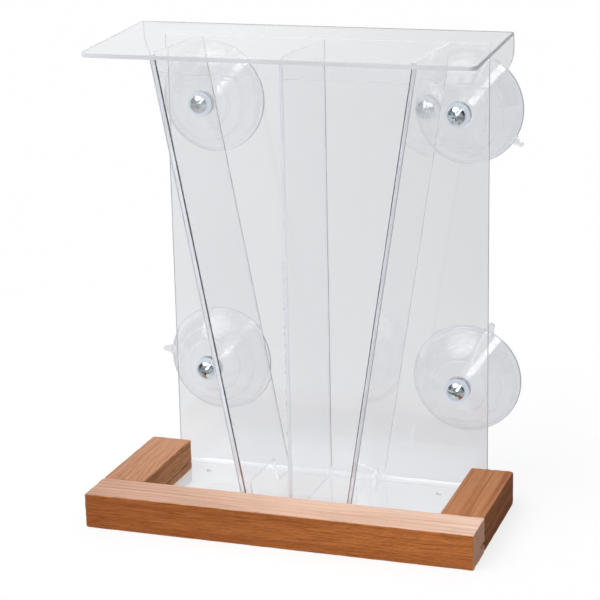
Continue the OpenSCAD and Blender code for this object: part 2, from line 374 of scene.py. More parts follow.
@dataclass(frozen=True)
class ClearFinish:
    """Clear plastic: it bends light, tints a little what passes, and lets lamps through; where asked, a matt
    part and an emission glow paint shade and light on it.
    """

    name: str
    ior: float
    roughness: tuple[float, float]
    shade: Colour
    clear: Colour = (1.0, 1.0, 1.0)
    grime_and_painted_shade: Point = (0.0, 0.0)
    painted_top_dimming: float = 0.0
    ringed: float = 0.0
    dust_and_painted_shade: Colour = (0.72, 0.74, 0.77)
    painted_edge_glow: Point = (0.0, 0.0)
    glow: Colour = (0.95, 0.97, 1.0)
    grain_scale: float = 400.0
    ripple: float = 0.0
    ripple_scale: float = 9.0

    def build(self) -> bpy.types.Material:
        """Builds the plastic.

        Returns:
            The material.
        """
        s = Shader(self.name)
        spot = s.place()
        cloud = s.noise(spot, 16.0, 4.0, 0.6)
        fine = s.noise(spot, self.grain_scale, 3.0, 0.6)
        haze = s.math("ADD", s.math("MULTIPLY", cloud, 0.7), s.math("MULTIPLY", fine, 0.3))
        inputs = {"Base Color": self.clear, "Transmission Weight": 1.0, "IOR": self.ior,
                  "Roughness": s.ramp(haze, 0.3, 0.7, *self.roughness, smooth=False)}
        if self.ripple:
            inputs["Normal"] = s.bump(s.noise(spot, self.ripple_scale, 2.0, 0.4), 1.0, self.ripple)
        surface = s.make("BsdfPrincipled", inputs)
        # A matt part: dust, and on the darker edge and lip copies painted shade
        if self.grime_and_painted_shade[1]:
            dust_and_painted_shade = s.make("BsdfDiffuse", {"Color": self.dust_and_painted_shade})
            surface = s.make("MixShader", {0: self.dust_share(s, haze), 1: surface, 2: dust_and_painted_shade})
        if self.painted_edge_glow[1]:
            # Painted light: an emission glow on the sawn edges stands in for the light a sheet carries to
            # them, least on those turned from the bright side
            level = s.ramp(s.facing()[0], 0.2, 0.8, self.painted_edge_glow[1], self.painted_edge_glow[0])
            uneven = s.ramp(fine, 0.3, 0.7, 0.85, 1.15, smooth=False)
            glow = s.make("Emission", {"Color": self.glow, "Strength": s.math("MULTIPLY", level, uneven)})
            surface = s.make("AddShader", {0: surface, 1: glow})
        through = s.make("BsdfTransparent", {"Color": self.shade})
        shadow = s.add("ShaderNodeLightPath").outputs["Is Shadow Ray"]
        return s.finish(s.make("MixShader", {0: shadow, 1: surface, 2: through}))

    def dust_share(self, s: Shader, haze: bpy.types.NodeSocket) -> bpy.types.NodeSocket:
        """How much of the surface is dusty and matt, less on high edges that face up, which are kept clear as
        painted shade.

        Args:
            s: the plastic's node tree.
            haze: the pattern that the dust follows.

        Returns:
            The share.
        """
        share = s.ramp(haze, 0.35, 0.7, *self.grime_and_painted_shade, smooth=False)
        # Painted shade: high edges that face up lose their matt part, so they do not catch the overhead light
        if self.painted_top_dimming:
            height = s.split(s.spot())[2]
            high = s.math("MULTIPLY", s.ramp(height, 0.25, 0.30), self.painted_top_dimming)
            dimming = s.math("MULTIPLY", s.ramp(s.facing()[2], 0.5, 0.9), high)
            share = s.math("MULTIPLY", share, s.math("SUBTRACT", 1.0, dimming))
        if self.ringed:
            ring = s.add("ShaderNodeAttribute", attribute_name="ring").outputs["Fac"]
            share = s.math("MULTIPLY_ADD", ring, self.ringed, share)
        return share


@dataclass(frozen=True)
class PlatedFinish:
    """Bright zinc-chrome plating with fine scratches and dull spots."""

    name: str
    tint: Colour = (0.62, 0.69, 0.73)
    dull: Colour = (0.36, 0.42, 0.46)
    worn: float = 0.0

    def build(self) -> bpy.types.Material:
        """Builds the plating.

        Returns:
            The material.
        """
        s = Shader(self.name)
        spot = s.place()
        spots = s.noise(spot, 900.0, 4.0, 0.6)
        cloud = s.noise(spot, 180.0, 3.0)
        scratch = s.noise(s.place((400.0, 400.0, 4000.0)), 1.0, 3.0, 0.6)
        rough = s.math("ADD", s.ramp(cloud, 0.3, 0.7, 0.06 + self.worn, 0.15 + self.worn),
                       s.ramp(spots, 0.55, 0.7, 0.0, 0.12))
        return s.finish(s.make("BsdfPrincipled", {
            "Metallic": 1.0, "Roughness": rough, "Normal": s.bump(scratch, 0.15, 0.03 * MM),
            "Base Color": s.blend(s.ramp(spots, 0.5, 0.68, 0.0, 0.6), self.tint, self.dull)}))


@dataclass(frozen=True)
class CementFinish:
    """Dried cement in the corners of the joints: dark and glossy, with a painted brown reflection of the
    cedar tray near its foot.
    """

    name: str
    tone: Colour = (0.035, 0.04, 0.05)
    cloudy: Colour = (0.30, 0.31, 0.33)
    painted_wood_reflection: Colour = (0.36, 0.17, 0.08)
    reflection_low: float = 0.055
    reflection_high: float = 0.085

    def build(self) -> bpy.types.Material:
        """Builds the cement.

        Returns:
            The material.
        """
        s = Shader(self.name)
        spot = s.place()
        cloud = s.noise(spot, 700.0, 3.0)
        tone = s.blend(s.ramp(cloud, 0.5, 0.75), self.tone, self.cloudy)
        # Painted reflection: low down, near the tray, the cement turns cedar brown
        ragged = s.math("MULTIPLY_ADD", cloud, 0.02, s.split(spot)[2])
        tone = s.blend(s.ramp(ragged, self.reflection_low, self.reflection_high, 0.75, 0.0), tone, self.painted_wood_reflection)
        return s.finish(s.make("BsdfPrincipled", {
            "Base Color": tone, "Roughness": s.ramp(cloud, 0.3, 0.7, 0.18, 0.4),
            "Normal": s.bump(cloud, 0.3, 0.1 * MM)}))


# Meshes


def new_piece(name: str, mesh: bpy.types.Mesh) -> bpy.types.Object:
    """Puts a mesh in the scene as a piece at the origin.

    Args:
        name: the piece's name.
        mesh: its mesh.

    Returns:
        The new object.
    """
    piece = bpy.data.objects.new(name, mesh)
    bpy.context.scene.collection.objects.link(piece)
    return piece


def log_faces(piece: bpy.types.Object) -> None:
    """Reports how many faces a piece has."""
    log.info("%s: %d faces", piece.name, len(piece.data.polygons))


def turn_outward(bm: bmesh.types.BMesh, name: str) -> None:
    """Turns a closed shape's faces outwards and reports what is left open.

    Args:
        bm: the shape.
        name: what the report calls it.
    """
    bmesh.ops.recalc_face_normals(bm, faces=bm.faces)
    if bm.calc_volume(signed=True) < 0:
        bmesh.ops.reverse_faces(bm, faces=bm.faces)
    open_edges = sum(1 for edge in bm.edges if not edge.is_manifold)
    log.info("%s: volume %.0f mm3, open edges %d", name, bm.calc_volume(signed=True) / MM ** 3, open_edges)


def piece_from_bmesh(name: str, bm: bmesh.types.BMesh, sharp_over: float) -> bpy.types.Object:
    """Closes a bmesh into a piece with smooth faces and sharp corners.

    Args:
        name: the piece's name.
        bm: the shape, which is freed.
        sharp_over: angle in degrees over which an edge stays sharp.

    Returns:
        The new object.
    """
    turn_outward(bm, name)
    for face in bm.faces:
        face.smooth = True
    for edge in bm.edges:
        edge.smooth = edge.calc_face_angle(math.pi) < math.radians(sharp_over)
    mesh = bpy.data.meshes.new(name)
    bm.to_mesh(mesh)
    bm.free()
    return new_piece(name, mesh)


def arc(centre: Point, radius: float, start: float, end: float, steps: int) -> Loop:
    """Points along an arc.

    Args:
        centre: the arc's centre.
        radius: its radius.
        start: its first angle in degrees.
        end: its last angle in degrees.
        steps: how many chords it has.

    Returns:
        The points, both ends among them.
    """
    turns = (math.radians(start + (end - start) * i / steps) for i in range(steps + 1))
    return [(centre[0] + radius * math.cos(t), centre[1] + radius * math.sin(t)) for t in turns]


def hole(centre: Point, radius: float, steps: int = 40) -> Loop:
    """A round hole's loop, clockwise.

    Args:
        centre: its centre.
        radius: its radius.
        steps: how many chords it has.

    Returns:
        The loop.
    """
    return arc(centre, radius, 360.0, 0.0, steps)[:-1]


def inset(loop: Loop, distance: float) -> Loop:
    """Moves a loop's corners towards the material on its left.

    Args:
        loop: the loop, anticlockwise for an outline and clockwise for a hole.
        distance: how far each side moves.

    Returns:
        The moved loop.
    """
    moved = []
    for i, here in enumerate(loop):
        before, after = Vector(loop[i - 1]), Vector(loop[(i + 1) % len(loop)])
        a = (Vector(here) - before).normalized()
        b = (after - Vector(here)).normalized()
        n1, n2 = Vector((-a.y, a.x)), Vector((-b.y, b.x))
        shift = (n1 + n2) * (distance / (1.0 + n1.dot(n2)))
        moved.append((here[0] + shift.x, here[1] + shift.y))
    return moved


@dataclass
class ClearSheet:
    """One sheet cut from its flat pattern, with fine arrises, and formed to its place."""

    name: str
    outline: Loop
    place: Callable[[float, float, float], Sequence[float]]
    holes: list[Loop] = field(default_factory=list)
    folds: list[float] = field(default_factory=list)
    thickness: float = SHEET_T
    arris: float = 0.28 * MM

    def rings(self) -> list[Point]:
        """The rings of points round the sheet's edge.

        Returns:
            Height and inset of each ring from the underside to the upper side.
        """
        b, t = self.arris, self.thickness
        mid = 0.3 * b
        return [(0.0, b), (mid, mid), (b, 0.0), (t - b, 0.0), (t - mid, mid), (t, b)]

    def cut(self) -> bpy.types.Object:
        """Cuts the sheet, scores it along its folds and forms it.

        Returns:
            The sheet, with material slot 0 on its faces and 1 on its edges.
        """
        bm = bmesh.new()
        caps = ([], [])
        for loop in [self.outline, *self.holes]:
            rings = [[bm.verts.new((*p, w)) for p in inset(loop, gap)] for w, gap in self.rings()]
            for low, high in zip(rings, rings[1:]):
                for i in range(len(loop)):
                    j = (i + 1) % len(loop)
                    side = bm.faces.new((low[i], low[j], high[j], high[i]))
                    side.material_index = SheetPart.EDGE.value
            for cap, ring in zip(caps, (rings[0], rings[-1])):
                cap.extend(bm.edges.get((ring[i - 1], ring[i])) for i in range(len(ring)))
        for cap in caps:
            bmesh.ops.triangle_fill(bm, edges=cap, use_beauty=True)
        for v in self.folds:
            bmesh.ops.bisect_plane(bm, geom=[*bm.verts, *bm.edges, *bm.faces],
                                   plane_co=(0.0, v, 0.0), plane_no=(0.0, 1.0, 0.0))
        for vert in bm.verts:
            vert.co = self.place(*vert.co)
        return piece_from_bmesh(self.name, bm, 20.0)


def fold_lines(start: float, length: float, steps: int = 14, guard: float = 0.3 * MM) -> list[float]:
    """Where a sheet is scored for a bend.

    Args:
        start: where the bend starts along the pattern.
        length: the bend's length along the pattern.
        steps: how many facets the bend has.
        guard: distance of a last line outside each end.

    Returns:
        The lines' places along the pattern.
    """
    lines = [start + length * i / steps for i in range(steps + 1)]
    return [start - guard, *lines, start + length + guard]


def corner(x: float, y: float, radius: float, start: float, steps: int = 10) -> Loop:
    """A quarter-round corner.

    Args:
        x: X of the arc's centre.
        y: Y of the arc's centre.
        radius: its radius.
        start: its first angle in degrees.
        steps: how many chords it has.

    Returns:
        The corner's points.
    """
    return arc((x, y), radius, start, start + 90.0, steps)


# Geometry Nodes


class TreeMaker(Nodes):
    """A Geometry Nodes tree."""

    def __init__(self, name: str) -> None:
        """Starts an empty tree.

        Args:
            name: the tree's name.
        """
        super().__init__(bpy.data.node_groups.new(name, "GeometryNodeTree"))
        self.start = self.add("NodeGroupInput")
        self.end = self.add("NodeGroupOutput")
        self.tree.interface.new_socket("Geometry", in_out="OUTPUT", socket_type="NodeSocketGeometry")

    def ask(self, name: str, kind: str, default: object = None) -> bpy.types.NodeSocket:
        """Adds a named input.

        Args:
            name: the input's name.
            kind: its socket type without the NodeSocket prefix.
            default: its value when nothing is given.

        Returns:
            The socket inside the tree.
        """
        socket = self.tree.interface.new_socket(name, in_out="INPUT", socket_type="NodeSocket" + kind)
        if default is not None:
            socket.default_value = default
        return self.start.outputs[name]

    def position(self) -> bpy.types.NodeSocket:
        """Gives each point's position."""
        return self.add("GeometryNodeInputPosition").outputs[0]

    def swing(self, x: object, y: object, z: object, angle: object) -> bpy.types.NodeSocket:
        """Turns a place round the Y axis.

        Args:
            x: its X.
            y: its Y.
            z: its Z.
            angle: the turn in radians.

        Returns:
            The turned place.
        """
        cos, sin = self.math("COSINE", angle), self.math("SINE", angle)
        return self.add("ShaderNodeCombineXYZ", {
            0: self.math("SUBTRACT", self.math("MULTIPLY", x, cos), self.math("MULTIPLY", z, sin)), 1: y,
            2: self.math("ADD", self.math("MULTIPLY", x, sin), self.math("MULTIPLY", z, cos))}).outputs[0]

    def turn(self, section: bpy.types.NodeSocket, points: object, segments: object, pitch: object = None,
             depth: object = None, low: object = None, high: object = None) -> bpy.types.NodeSocket:
        """Turns a section round the Y axis. The section's points hold a radius in X and a place in Y.

        Args:
            section: the section's mesh.
            points: how many points it has.
            segments: how many segments the turn has.
            pitch: pitch of a thread.
            depth: depth of the thread.
            low: where along Y the thread starts.
            high: where along Y the thread ends.

        Returns:
            The turned mesh.
        """
        grid = self.add("GeometryNodeMeshGrid", {
            "Size X": 1.0, "Size Y": 1.0, "Vertices X": points,
            "Vertices Y": self.math("ADD", segments, 1.0)})
        here = self.split(self.position())
        row = self.math("ROUND", self.math("MULTIPLY", self.math("ADD", here[0], 0.5),
                                           self.math("SUBTRACT", points, 1.0)))
        pick = self.add("GeometryNodeSampleIndex", {"Geometry": section, "Index": row},
                        data_type="FLOAT_VECTOR", domain="POINT")
        self.put(pick.inputs["Value"], self.position())
        radius, along, _ = self.split(pick.outputs[0])
        angle = self.math("MULTIPLY", self.math("ADD", here[1], 0.5), 2 * math.pi)
        if pitch is not None:
            wave = self.math("FRACT", self.math("SUBTRACT", self.math("DIVIDE", along, pitch),
                                                self.math("DIVIDE", angle, 2 * math.pi)))
            tooth = self.math("ABSOLUTE", self.math("SUBTRACT", self.math("MULTIPLY", wave, 2.0), 1.0))
            inside = self.math("MULTIPLY", self.math("GREATER_THAN", along, low),
                               self.math("LESS_THAN", along, high))
            cut_in = self.math("MULTIPLY", self.math("MULTIPLY", tooth, depth), inside)
            radius = self.math("SUBTRACT", radius, cut_in)
        place = self.add("ShaderNodeCombineXYZ", {
            0: self.math("MULTIPLY", radius, self.math("COSINE", angle)), 1: along,
            2: self.math("MULTIPLY", radius, self.math("SINE", angle))})
        moved = self.add("GeometryNodeSetPosition",
                         {"Geometry": grid.outputs["Mesh"], "Position": place.outputs[0]})
        return self.add("GeometryNodeMergeByDistance",
                        {"Geometry": moved.outputs[0], "Distance": 1e-6}).outputs[0]

    def close(self, geometry: bpy.types.NodeSocket, material: bpy.types.NodeSocket,
              sharp_over: float) -> None:
        """Realizes, shades and paints the result, and joins it to the output.

        Args:
            geometry: the mesh.
            material: its material.
            sharp_over: angle in degrees over which an edge stays sharp.
        """
        real = self.add("GeometryNodeRealizeInstances", {0: geometry})
        smooth = self.add("GeometryNodeSetShadeSmooth",
                          {"Geometry": real.outputs[0], "Shade Smooth": True}, domain="FACE")
        angle = self.add("GeometryNodeInputMeshEdgeAngle")
        keen = self.math("GREATER_THAN", angle.outputs[0], math.radians(sharp_over))
        sharp = self.add("GeometryNodeSetShadeSmooth",
                         {"Geometry": smooth.outputs[0], "Selection": keen, "Shade Smooth": False},
                         domain="EDGE")
        paint = self.add("GeometryNodeSetMaterial", {"Geometry": sharp.outputs[0], "Material": material})
        self.put(self.end.inputs[0], paint.outputs[0])


def grow(name: str, tree: bpy.types.NodeTree, base: bpy.types.Mesh,
         values: dict[str, object]) -> bpy.types.Object:
    """Runs a Geometry Nodes tree and keeps its result as a plain mesh.

    Args:
        name: the piece's name.
        tree: the tree.
        base: the mesh that the tree starts from.
        values: the tree's inputs by name.

    Returns:
        The finished piece.
    """
    seedling = new_piece(name + "_seed", base)
    modifier = seedling.modifiers.new("tree", "NODES")
    modifier.node_group = tree
    for item in tree.interface.items_tree:
        if item.item_type == "SOCKET" and item.in_out == "INPUT" and item.name in values:
            modifier[item.identifier] = values[item.name]
    seedling.update_tag()
    graph = bpy.context.evaluated_depsgraph_get()
    graph.update()
    mesh = bpy.data.meshes.new_from_object(seedling.evaluated_get(graph))
    mesh.name = name
    seedling.modifiers.remove(modifier)
    bpy.data.objects.remove(seedling)
    return new_piece(name, mesh)


def polyline(name: str, points: Sequence[Sequence[float]]) -> bpy.types.Mesh:
    """A mesh of one open line.

    Args:
        name: the mesh's name.
        points: two or three numbers for each point.

    Returns:
        The mesh.
    """
    mesh = bpy.data.meshes.new(name)
    corners = [(*p, 0.0)[:3] for p in points]
    mesh.from_pydata(corners, [(i, i + 1) for i in range(len(points) - 1)], [])
    return mesh


# The feeder


@dataclass(frozen=True)
class CedarRail:
    """One cedar rail: a bar with rubbed edges, torn ends and the floor groove."""

    node: str
    grain: Grain
    groove_side: int
    groove_z: float = 6.5 * MM
    groove_h: float = 3.2 * MM
    groove_d: float = 11.8 * MM
    edge_r: float = 1.2 * MM
    rub: float = 0.13 * MM
    tear: float = 0.4 * MM
    seed: float = 0.0
    edge_reach: float = 2.4 * MM
    pitting: float = 0.05 * MM
    end_rub: float = 0.4 * MM
    end_reach: float = 0.9 * MM
    fade: float = 1.5 * MM
    end_rings: tuple[float, ...] = (0.0, 0.3 * MM, 0.8 * MM, 1.5 * MM, 2.6 * MM)
    end_zone: float = 4 * MM
    ring_step: float = 2.6 * MM

    def section(self, width: float, height: float) -> Loop:
        """The bar's section, anticlockwise, with the groove in one of its sides.

        Args:
            width: the bar's width.
            height: the bar's height.

        Returns:
            The loop, as across and up.
        """
        r, step = self.edge_r, 2.2 * MM
        g0, g1 = self.groove_z, self.groove_z + self.groove_h
        loop: Loop = []

        def line(a: Point, b: Point, pace: float = step) -> None:
            """Adds points from a up to but without b."""
            count = max(1, round(math.dist(a, b) / pace))
            loop.extend((a[0] + (b[0] - a[0]) * i / count, a[1] + (b[1] - a[1]) * i / count)
                        for i in range(count))

        line((r, 0.0), (width - r, 0.0))
        loop.extend(arc((width - r, r), r, 270.0, 360.0, 5)[:-1])
        line((width, r), (width, g0))
        line((width, g0), (width - self.groove_d, g0), 6 * MM)
        line((width - self.groove_d, g0), (width - self.groove_d, g1), 6 * MM)
        line((width - self.groove_d, g1), (width, g1), 6 * MM)
        line((width, g1), (width, height - r))
        loop.extend(arc((width - r, height - r), r, 0.0, 90.0, 5)[:-1])
        line((width - r, height), (r, height))
        loop.extend(arc((r, height - r), r, 90.0, 180.0, 5)[:-1])
        line((0.0, height - r), (0.0, r))
        loop.extend(arc((r, r), r, 180.0, 270.0, 5)[:-1])
        if self.groove_side < 0:
            loop = [(width - a, h) for a, h in reversed(loop)]
        return loop

    def worn(self, run: float, a: float, h: float, size: Vector) -> tuple[float, float, float]:
        """Rubs a point of the bar's surface inwards.

        Args:
            run: place along the bar.
            a: place across the bar.
            h: height.
            size: the bar's length, width and height.

        Returns:
            The moved point.
        """
        length, width, height = size
        side_a, side_h = min(a, width - a), min(h, height - h)
        in_groove = self.groove_z - 0.1 * MM < h < self.groove_z + self.groove_h + 0.1 * MM
        if in_groove and 0.5 * MM < side_a:
            return run, a, h
        spot = Vector((run * 90.0 + self.seed, a * 210.0, h * 210.0))
        coarse = max(0.0, 0.45 + noise.noise(spot))
        fine = max(0.0, noise.noise(spot * 3.7) - 0.05)
        near = math.exp(-((side_a + side_h) / self.edge_reach) ** 2)
        depth = self.rub * near * (coarse + 0.9 * fine) + self.pitting * coarse
        ended = min(run, length - run)
        depth += self.end_rub * math.exp(-((ended / self.end_reach) ** 2)) * (0.5 + coarse)
        centre_a = 1.0 if a < width / 2 else -1.0
        centre_h = 1.0 if h < height / 2 else -1.0
        pull_a = centre_a * depth * math.exp(-side_a / self.fade)
        pull_h = centre_h * depth * math.exp(-side_h / self.fade)
        inward = 1.0 if run < length / 2 else -1.0
        split = max(0.0, 0.25 + noise.noise(Vector((self.seed, a * 330.0, h * 330.0))))
        torn = self.tear * math.exp(-ended / self.fade) * split
        return run + inward * torn, a + pull_a, h + pull_h

    def build(self) -> bpy.types.Object:
        """Builds the rail inside the box of its CAD node.

        Returns:
            The rail.
        """
        low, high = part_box(self.node)
        run_axis, side_axis = (0, 1) if self.grain is Grain.ALONG_X else (1, 0)
        size = Vector([high[axis] - low[axis] for axis in (run_axis, side_axis, 2)])
        middle = size[0] - 2 * self.end_zone
        count = round(middle / self.ring_step)
        runs = [*self.end_rings, *(self.end_zone + middle * i / count for i in range(count + 1))]
        runs += [size[0] - e for e in reversed(self.end_rings)]
        loop = self.section(size[1], size[2])
        bm = bmesh.new()
        rings = []
        for run in runs:
            ring = []
            for a, h in loop:
                r, b, z = self.worn(run, a, h, size)
                place = [0.0, 0.0, low[2] + z]
                place[run_axis], place[side_axis] = low[run_axis] + r, low[side_axis] + b
                ring.append(bm.verts.new(place))
            rings.append(ring)
        for near, far in zip(rings, rings[1:]):
            for i in range(len(loop)):
                j = (i + 1) % len(loop)
                bm.faces.new((near[i], near[j], far[j], far[i]))
        for ring in (rings[0], rings[-1]):
            edges = [bm.edges.get((ring[i - 1], ring[i])) for i in range(len(ring))]
            bmesh.ops.triangle_fill(bm, edges=edges, use_beauty=True)
        return piece_from_bmesh(self.node + "_board", bm, 42.0)


@dataclass
class CedarTray:
    """The three cedar rails that frame the tray's floor."""

    rails: tuple[CedarRail, ...] = (
        CedarRail("front_rail", Grain.ALONG_X, 1, seed=3.1),
        CedarRail("left_rail", Grain.ALONG_Y, 1, seed=14.2),
        CedarRail("right_rail", Grain.ALONG_Y, -1, seed=27.9, tear=1.9 * MM),
    )

    def finish_of(self, rail: CedarRail) -> bpy.types.Material:
        """The wood of one rail.

        Args:
            rail: the rail.

        Returns:
            Its material.
        """
        low, high = (tuple(v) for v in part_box(rail.node))
        if rail.grain is Grain.ALONG_X:
            # The front rail's near-white top is painted sheen, paler towards its right end
            return CedarFinish(
                rail.node + "_cedar", rail.grain, low, high, pith=(-14.0, -74.0), seed=rail.seed,
                ring_mm=0.95, early=(0.80, 0.275, 0.076), late=(0.34, 0.09, 0.018), dark=(0.16, 0.034, 0.002),
                worn_pale_and_sheen=(1.0, 0.72, 0.57), ring_share=0.62, painted_sheen_share=0.97, roughness=(0.38, 0.6),
                gloss=0.12, run_darkening=(0.40, 0.0), band_share=0.30, wander=1.8, firm=0.13,
                painted_sheen_run=(0.52, 1.1)).build()
        # The left rail's lighter early wood is partly its own tone and partly painted light that lifts its
        # inner face, which lies in shade
        left = rail.node == "left_rail"
        pith = (-172.0, -48.0) if left else (172.0, -52.0)
        return CedarFinish(
            rail.node + "_cedar", rail.grain, low, high, pith=pith, seed=rail.seed, ring_mm=1.5,
            early=(0.92, 0.45, 0.22) if left else (0.60, 0.235, 0.075), late=(0.30, 0.09, 0.025),
            dark=(0.12, 0.032, 0.009),
            worn_pale_and_sheen=(0.56, 0.315, 0.21) if left else (0.60, 0.285, 0.15), ring_share=0.4 if left else 0.25,
            painted_sheen_share=0.72, roughness=(0.55, 0.8), gloss=0.05, run_darkening=(0.0, 0.08),
            band_share=0.35 if left else 0.85, wander=6.0 if left else 3.0, firm=0.24 if left else 0.12,
            painted_side_shade=0.0 if left else 0.55, band_scale=0.34 if left else 0.17).build()

    def build(self) -> None:
        """Builds and dresses each rail from its own piece of cedar."""
        for rail in self.rails:
            board = rail.build()
            board.data.materials.append(self.finish_of(rail))
            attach(board, "frame")
            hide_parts(rail.node)
            log_faces(board)


@dataclass
class SeedHopper:
    """The glued clear sheets: floor and back in one, front, two slanted sides and the divider."""

    inner_half_w: float = 118.5 * MM
    back_half_w: float = 130.0 * MM
    floor_front_y: float = 6.25 * MM
    floor_flat_end_y: float = 115.25 * MM
    floor_z: float = 6.6 * MM
    bend_r: float = 4 * MM
    sheet_t: float = SHEET_T
    top_z: float = 359 * MM
    drain_r: float = 2 * MM
    drain_inset: float = 22 * MM
    screw_hole_r: float = 3.4 * MM
    foot_half_w: float = 41.5 * MM
    foot_shift: float = 4.5 * MM
    top_half_w: float = 101 * MM
    front_y: float = 20.25 * MM
    port_front_foot: float = 15 * MM
    port_l: float = 55 * MM
    port_h: float = 18 * MM
    port_r: float = 3 * MM
    relief: float = 4.3 * MM
    joint_gap: float = 0.03 * MM

    @property
    def floor_top_z(self) -> float:
        """Height of the floor's upper side."""
        return self.floor_z + self.sheet_t

    @property
    def back_y(self) -> float:
        """Y of the back panel's front face."""
        return self.floor_flat_end_y + self.bend_r

    @property
    def hopper_y(self) -> float:
        """Y of the front panel's rear face."""
        return self.front_y + self.sheet_t

    def foot_x(self, side: Side) -> float:
        """X of a slanted side panel's outer face at the floor."""
        return self.foot_shift + side.value * self.foot_half_w

    def slant(self, side: Side) -> float:
        """Change of X with height of a slanted side panel."""
        return (side.value * self.top_half_w - self.foot_x(side)) / (self.top_z - self.floor_top_z)

    def build_back_panel(self) -> bpy.types.Object:
        """Cuts and bends the sheet that is the floor and the back panel.

        Returns:
            The sheet.
        """
        flat = self.floor_flat_end_y - self.floor_front_y
        bend = (self.bend_r + self.sheet_t / 2) * math.pi / 2
        centre_z = self.floor_top_z + self.bend_r
        length = flat + bend + self.top_z - centre_z
        w = self.back_half_w

        def place(x: float, v: float, up: float) -> tuple[float, float, float]:
            """Bends the flat pattern up at the floor's rear.

            Args:
                x: place across the pattern.
                v: place along the pattern, from the floor's front edge.
                up: height in the sheet's thickness.

            Returns:
                The point's place in the feeder.
            """
            if v <= flat:
                return (x, self.floor_front_y + v, self.floor_z + up)
            radius = self.bend_r + self.sheet_t - up
            turn = min((v - flat) / bend, 1.0) * math.pi / 2
            rise = max(v - flat - bend, 0.0)
            return (x, self.floor_flat_end_y + radius * math.sin(turn),
                    centre_z - radius * math.cos(turn) + rise)

        drain_v = self.back_y - self.drain_inset - self.floor_front_y
        drain_x = self.inner_half_w - self.drain_inset
        holes = [hole((s.value * drain_x, drain_v), self.drain_r) for s in Side]
        holes += [hole((s.value * CUP_X, flat + bend + z - centre_z), self.screw_hole_r)
                  for s in Side for z in (LOW_CUP_Z, HIGH_CUP_Z)]
        return ClearSheet("back_panel_sheet", [(-w, 0.0), (w, 0.0), (w, length), (-w, length)], place,
                          holes=holes, folds=fold_lines(flat, bend), thickness=self.sheet_t).cut()

    def build_front_panel(self) -> bpy.types.Object:
        """Cuts the front panel.

        Returns:
            The sheet.
        """
        low = self.floor_top_z + self.joint_gap
        rise = low - self.floor_top_z
        left, right = (self.foot_x(s) + self.slant(s) * rise for s in Side)
        outline = [(left, low), (right, low), (self.top_half_w, self.top_z), (-self.top_half_w, self.top_z)]

        def place(x: float, z: float, back: float) -> tuple[float, float, float]:
            """Place in the feeder of a point of the flat pattern."""
            return (x, self.front_y + back, z)

        return ClearSheet("front_panel_sheet", outline, place, thickness=self.sheet_t).cut()

    def upright(self, port: Loop) -> Loop:
        """The outline of a sheet that runs from the front panel to the back panel.

        Args:
            port: the points of an opening in its foot, from front to rear.

        Returns:
            The loop, as depth and height.
        """
        y0, y1 = self.hopper_y + self.joint_gap, self.back_y - self.joint_gap
        z0 = self.floor_top_z + self.joint_gap
        return [(y0, z0), *port, (y1 - self.relief, z0), (y1, z0 + self.relief), (y1, self.top_z),
                (y0, self.top_z)]

    def build_side_panel(self, side: Side) -> bpy.types.Object:
        """Cuts a slanted side panel with its seed port.

        Args:
            side: left or right.

        Returns:
            The sheet.
        """
        foot = self.floor_top_z + self.joint_gap
        p0 = self.hopper_y + self.port_front_foot
        p1, r = p0 + self.port_l, self.port_r
        arch = self.floor_top_z + self.port_h - r
        port = [(p0, foot), *arc((p0 + r, arch), r, 180.0, 90.0, 8), *arc((p1 - r, arch), r, 90.0, 0.0, 8),
                (p1, foot)]
        slant = self.slant(side)
        wall = math.sqrt(1 + slant * slant)

        def place(y: float, z: float, w: float) -> tuple[float, float, float]:
            """Place in the feeder of a point of the flat pattern."""
            x = self.foot_x(side) + slant * (z - self.floor_top_z) - side.value * w * wall
            return (x, y, z)

        return ClearSheet(side.word + "_side_panel_sheet", self.upright(port), place,
                          thickness=self.sheet_t).cut()

    def build_divider(self) -> bpy.types.Object:
        """Cuts the upright divider.

        Returns:
            The sheet.
        """
        def place(y: float, z: float, w: float) -> tuple[float, float, float]:
            """Place in the feeder of a point of the flat pattern."""
            return (w - self.sheet_t / 2, y, z)

        return ClearSheet("center_divider_sheet", self.upright([]), place, thickness=self.sheet_t).cut()

    def mark_edges(self, piece: bpy.types.Object) -> None:
        """Gives a sheet's front edge and the edges round a seed port their own slots.

        Args:
            piece: a side panel or the divider.
        """
        z0, z1 = self.floor_top_z + MM, self.floor_top_z + self.port_h + MM
        y0, y1 = self.hopper_y + MM, self.back_y - 2 * MM
        for polygon in piece.data.polygons:
            if polygon.material_index != SheetPart.EDGE.value:
                continue
            centre = polygon.center
            if z0 < centre.z < z1 and y0 < centre.y < y1:
                polygon.material_index = SheetPart.PORT_EDGE.value
            elif polygon.normal.y < -0.7:
                polygon.material_index = SheetPart.FRONT_EDGE.value

    def build(self, face: bpy.types.Material, edge: bpy.types.Material, dull: bpy.types.Material,
              soft: bpy.types.Material, port: bpy.types.Material) -> None:
        """Builds and dresses all of the hopper's sheets.

        Args:
            face: the sheets' clear plastic.
            edge: the same plastic on sawn edges, with a painted glow.
            dull: the same plastic on the right slanted side's front edge, the darkest one, darkened as
                painted shade.
            soft: the same plastic on the divider's front edge, made greyer as painted shade.
            port: the same plastic on the edges round the seed ports, with a stronger painted glow that lights
                these inward-facing edges.
        """
        pieces = {
            "back_panel": self.build_back_panel(),
            "front_panel": self.build_front_panel(),
            "left_side_panel": self.build_side_panel(Side.LEFT),
            "right_side_panel": self.build_side_panel(Side.RIGHT),
            "center_divider": self.build_divider(),
        }
        fronts = {"left_side_panel": edge, "right_side_panel": dull, "center_divider": soft}
        for node, piece in pieces.items():
            piece.data.materials.append(face)
            piece.data.materials.append(edge)
            if node in fronts:
                piece.data.materials.append(fronts[node])
                piece.data.materials.append(port)
                self.mark_edges(piece)
            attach(piece, "frame")
            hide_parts(node)
            log_faces(piece)


@dataclass(frozen=True)
class Joint:
    """One cemented joint's line, with the bead's radius."""

    start: tuple[float, float, float]
    end: tuple[float, float, float]
    radius: float


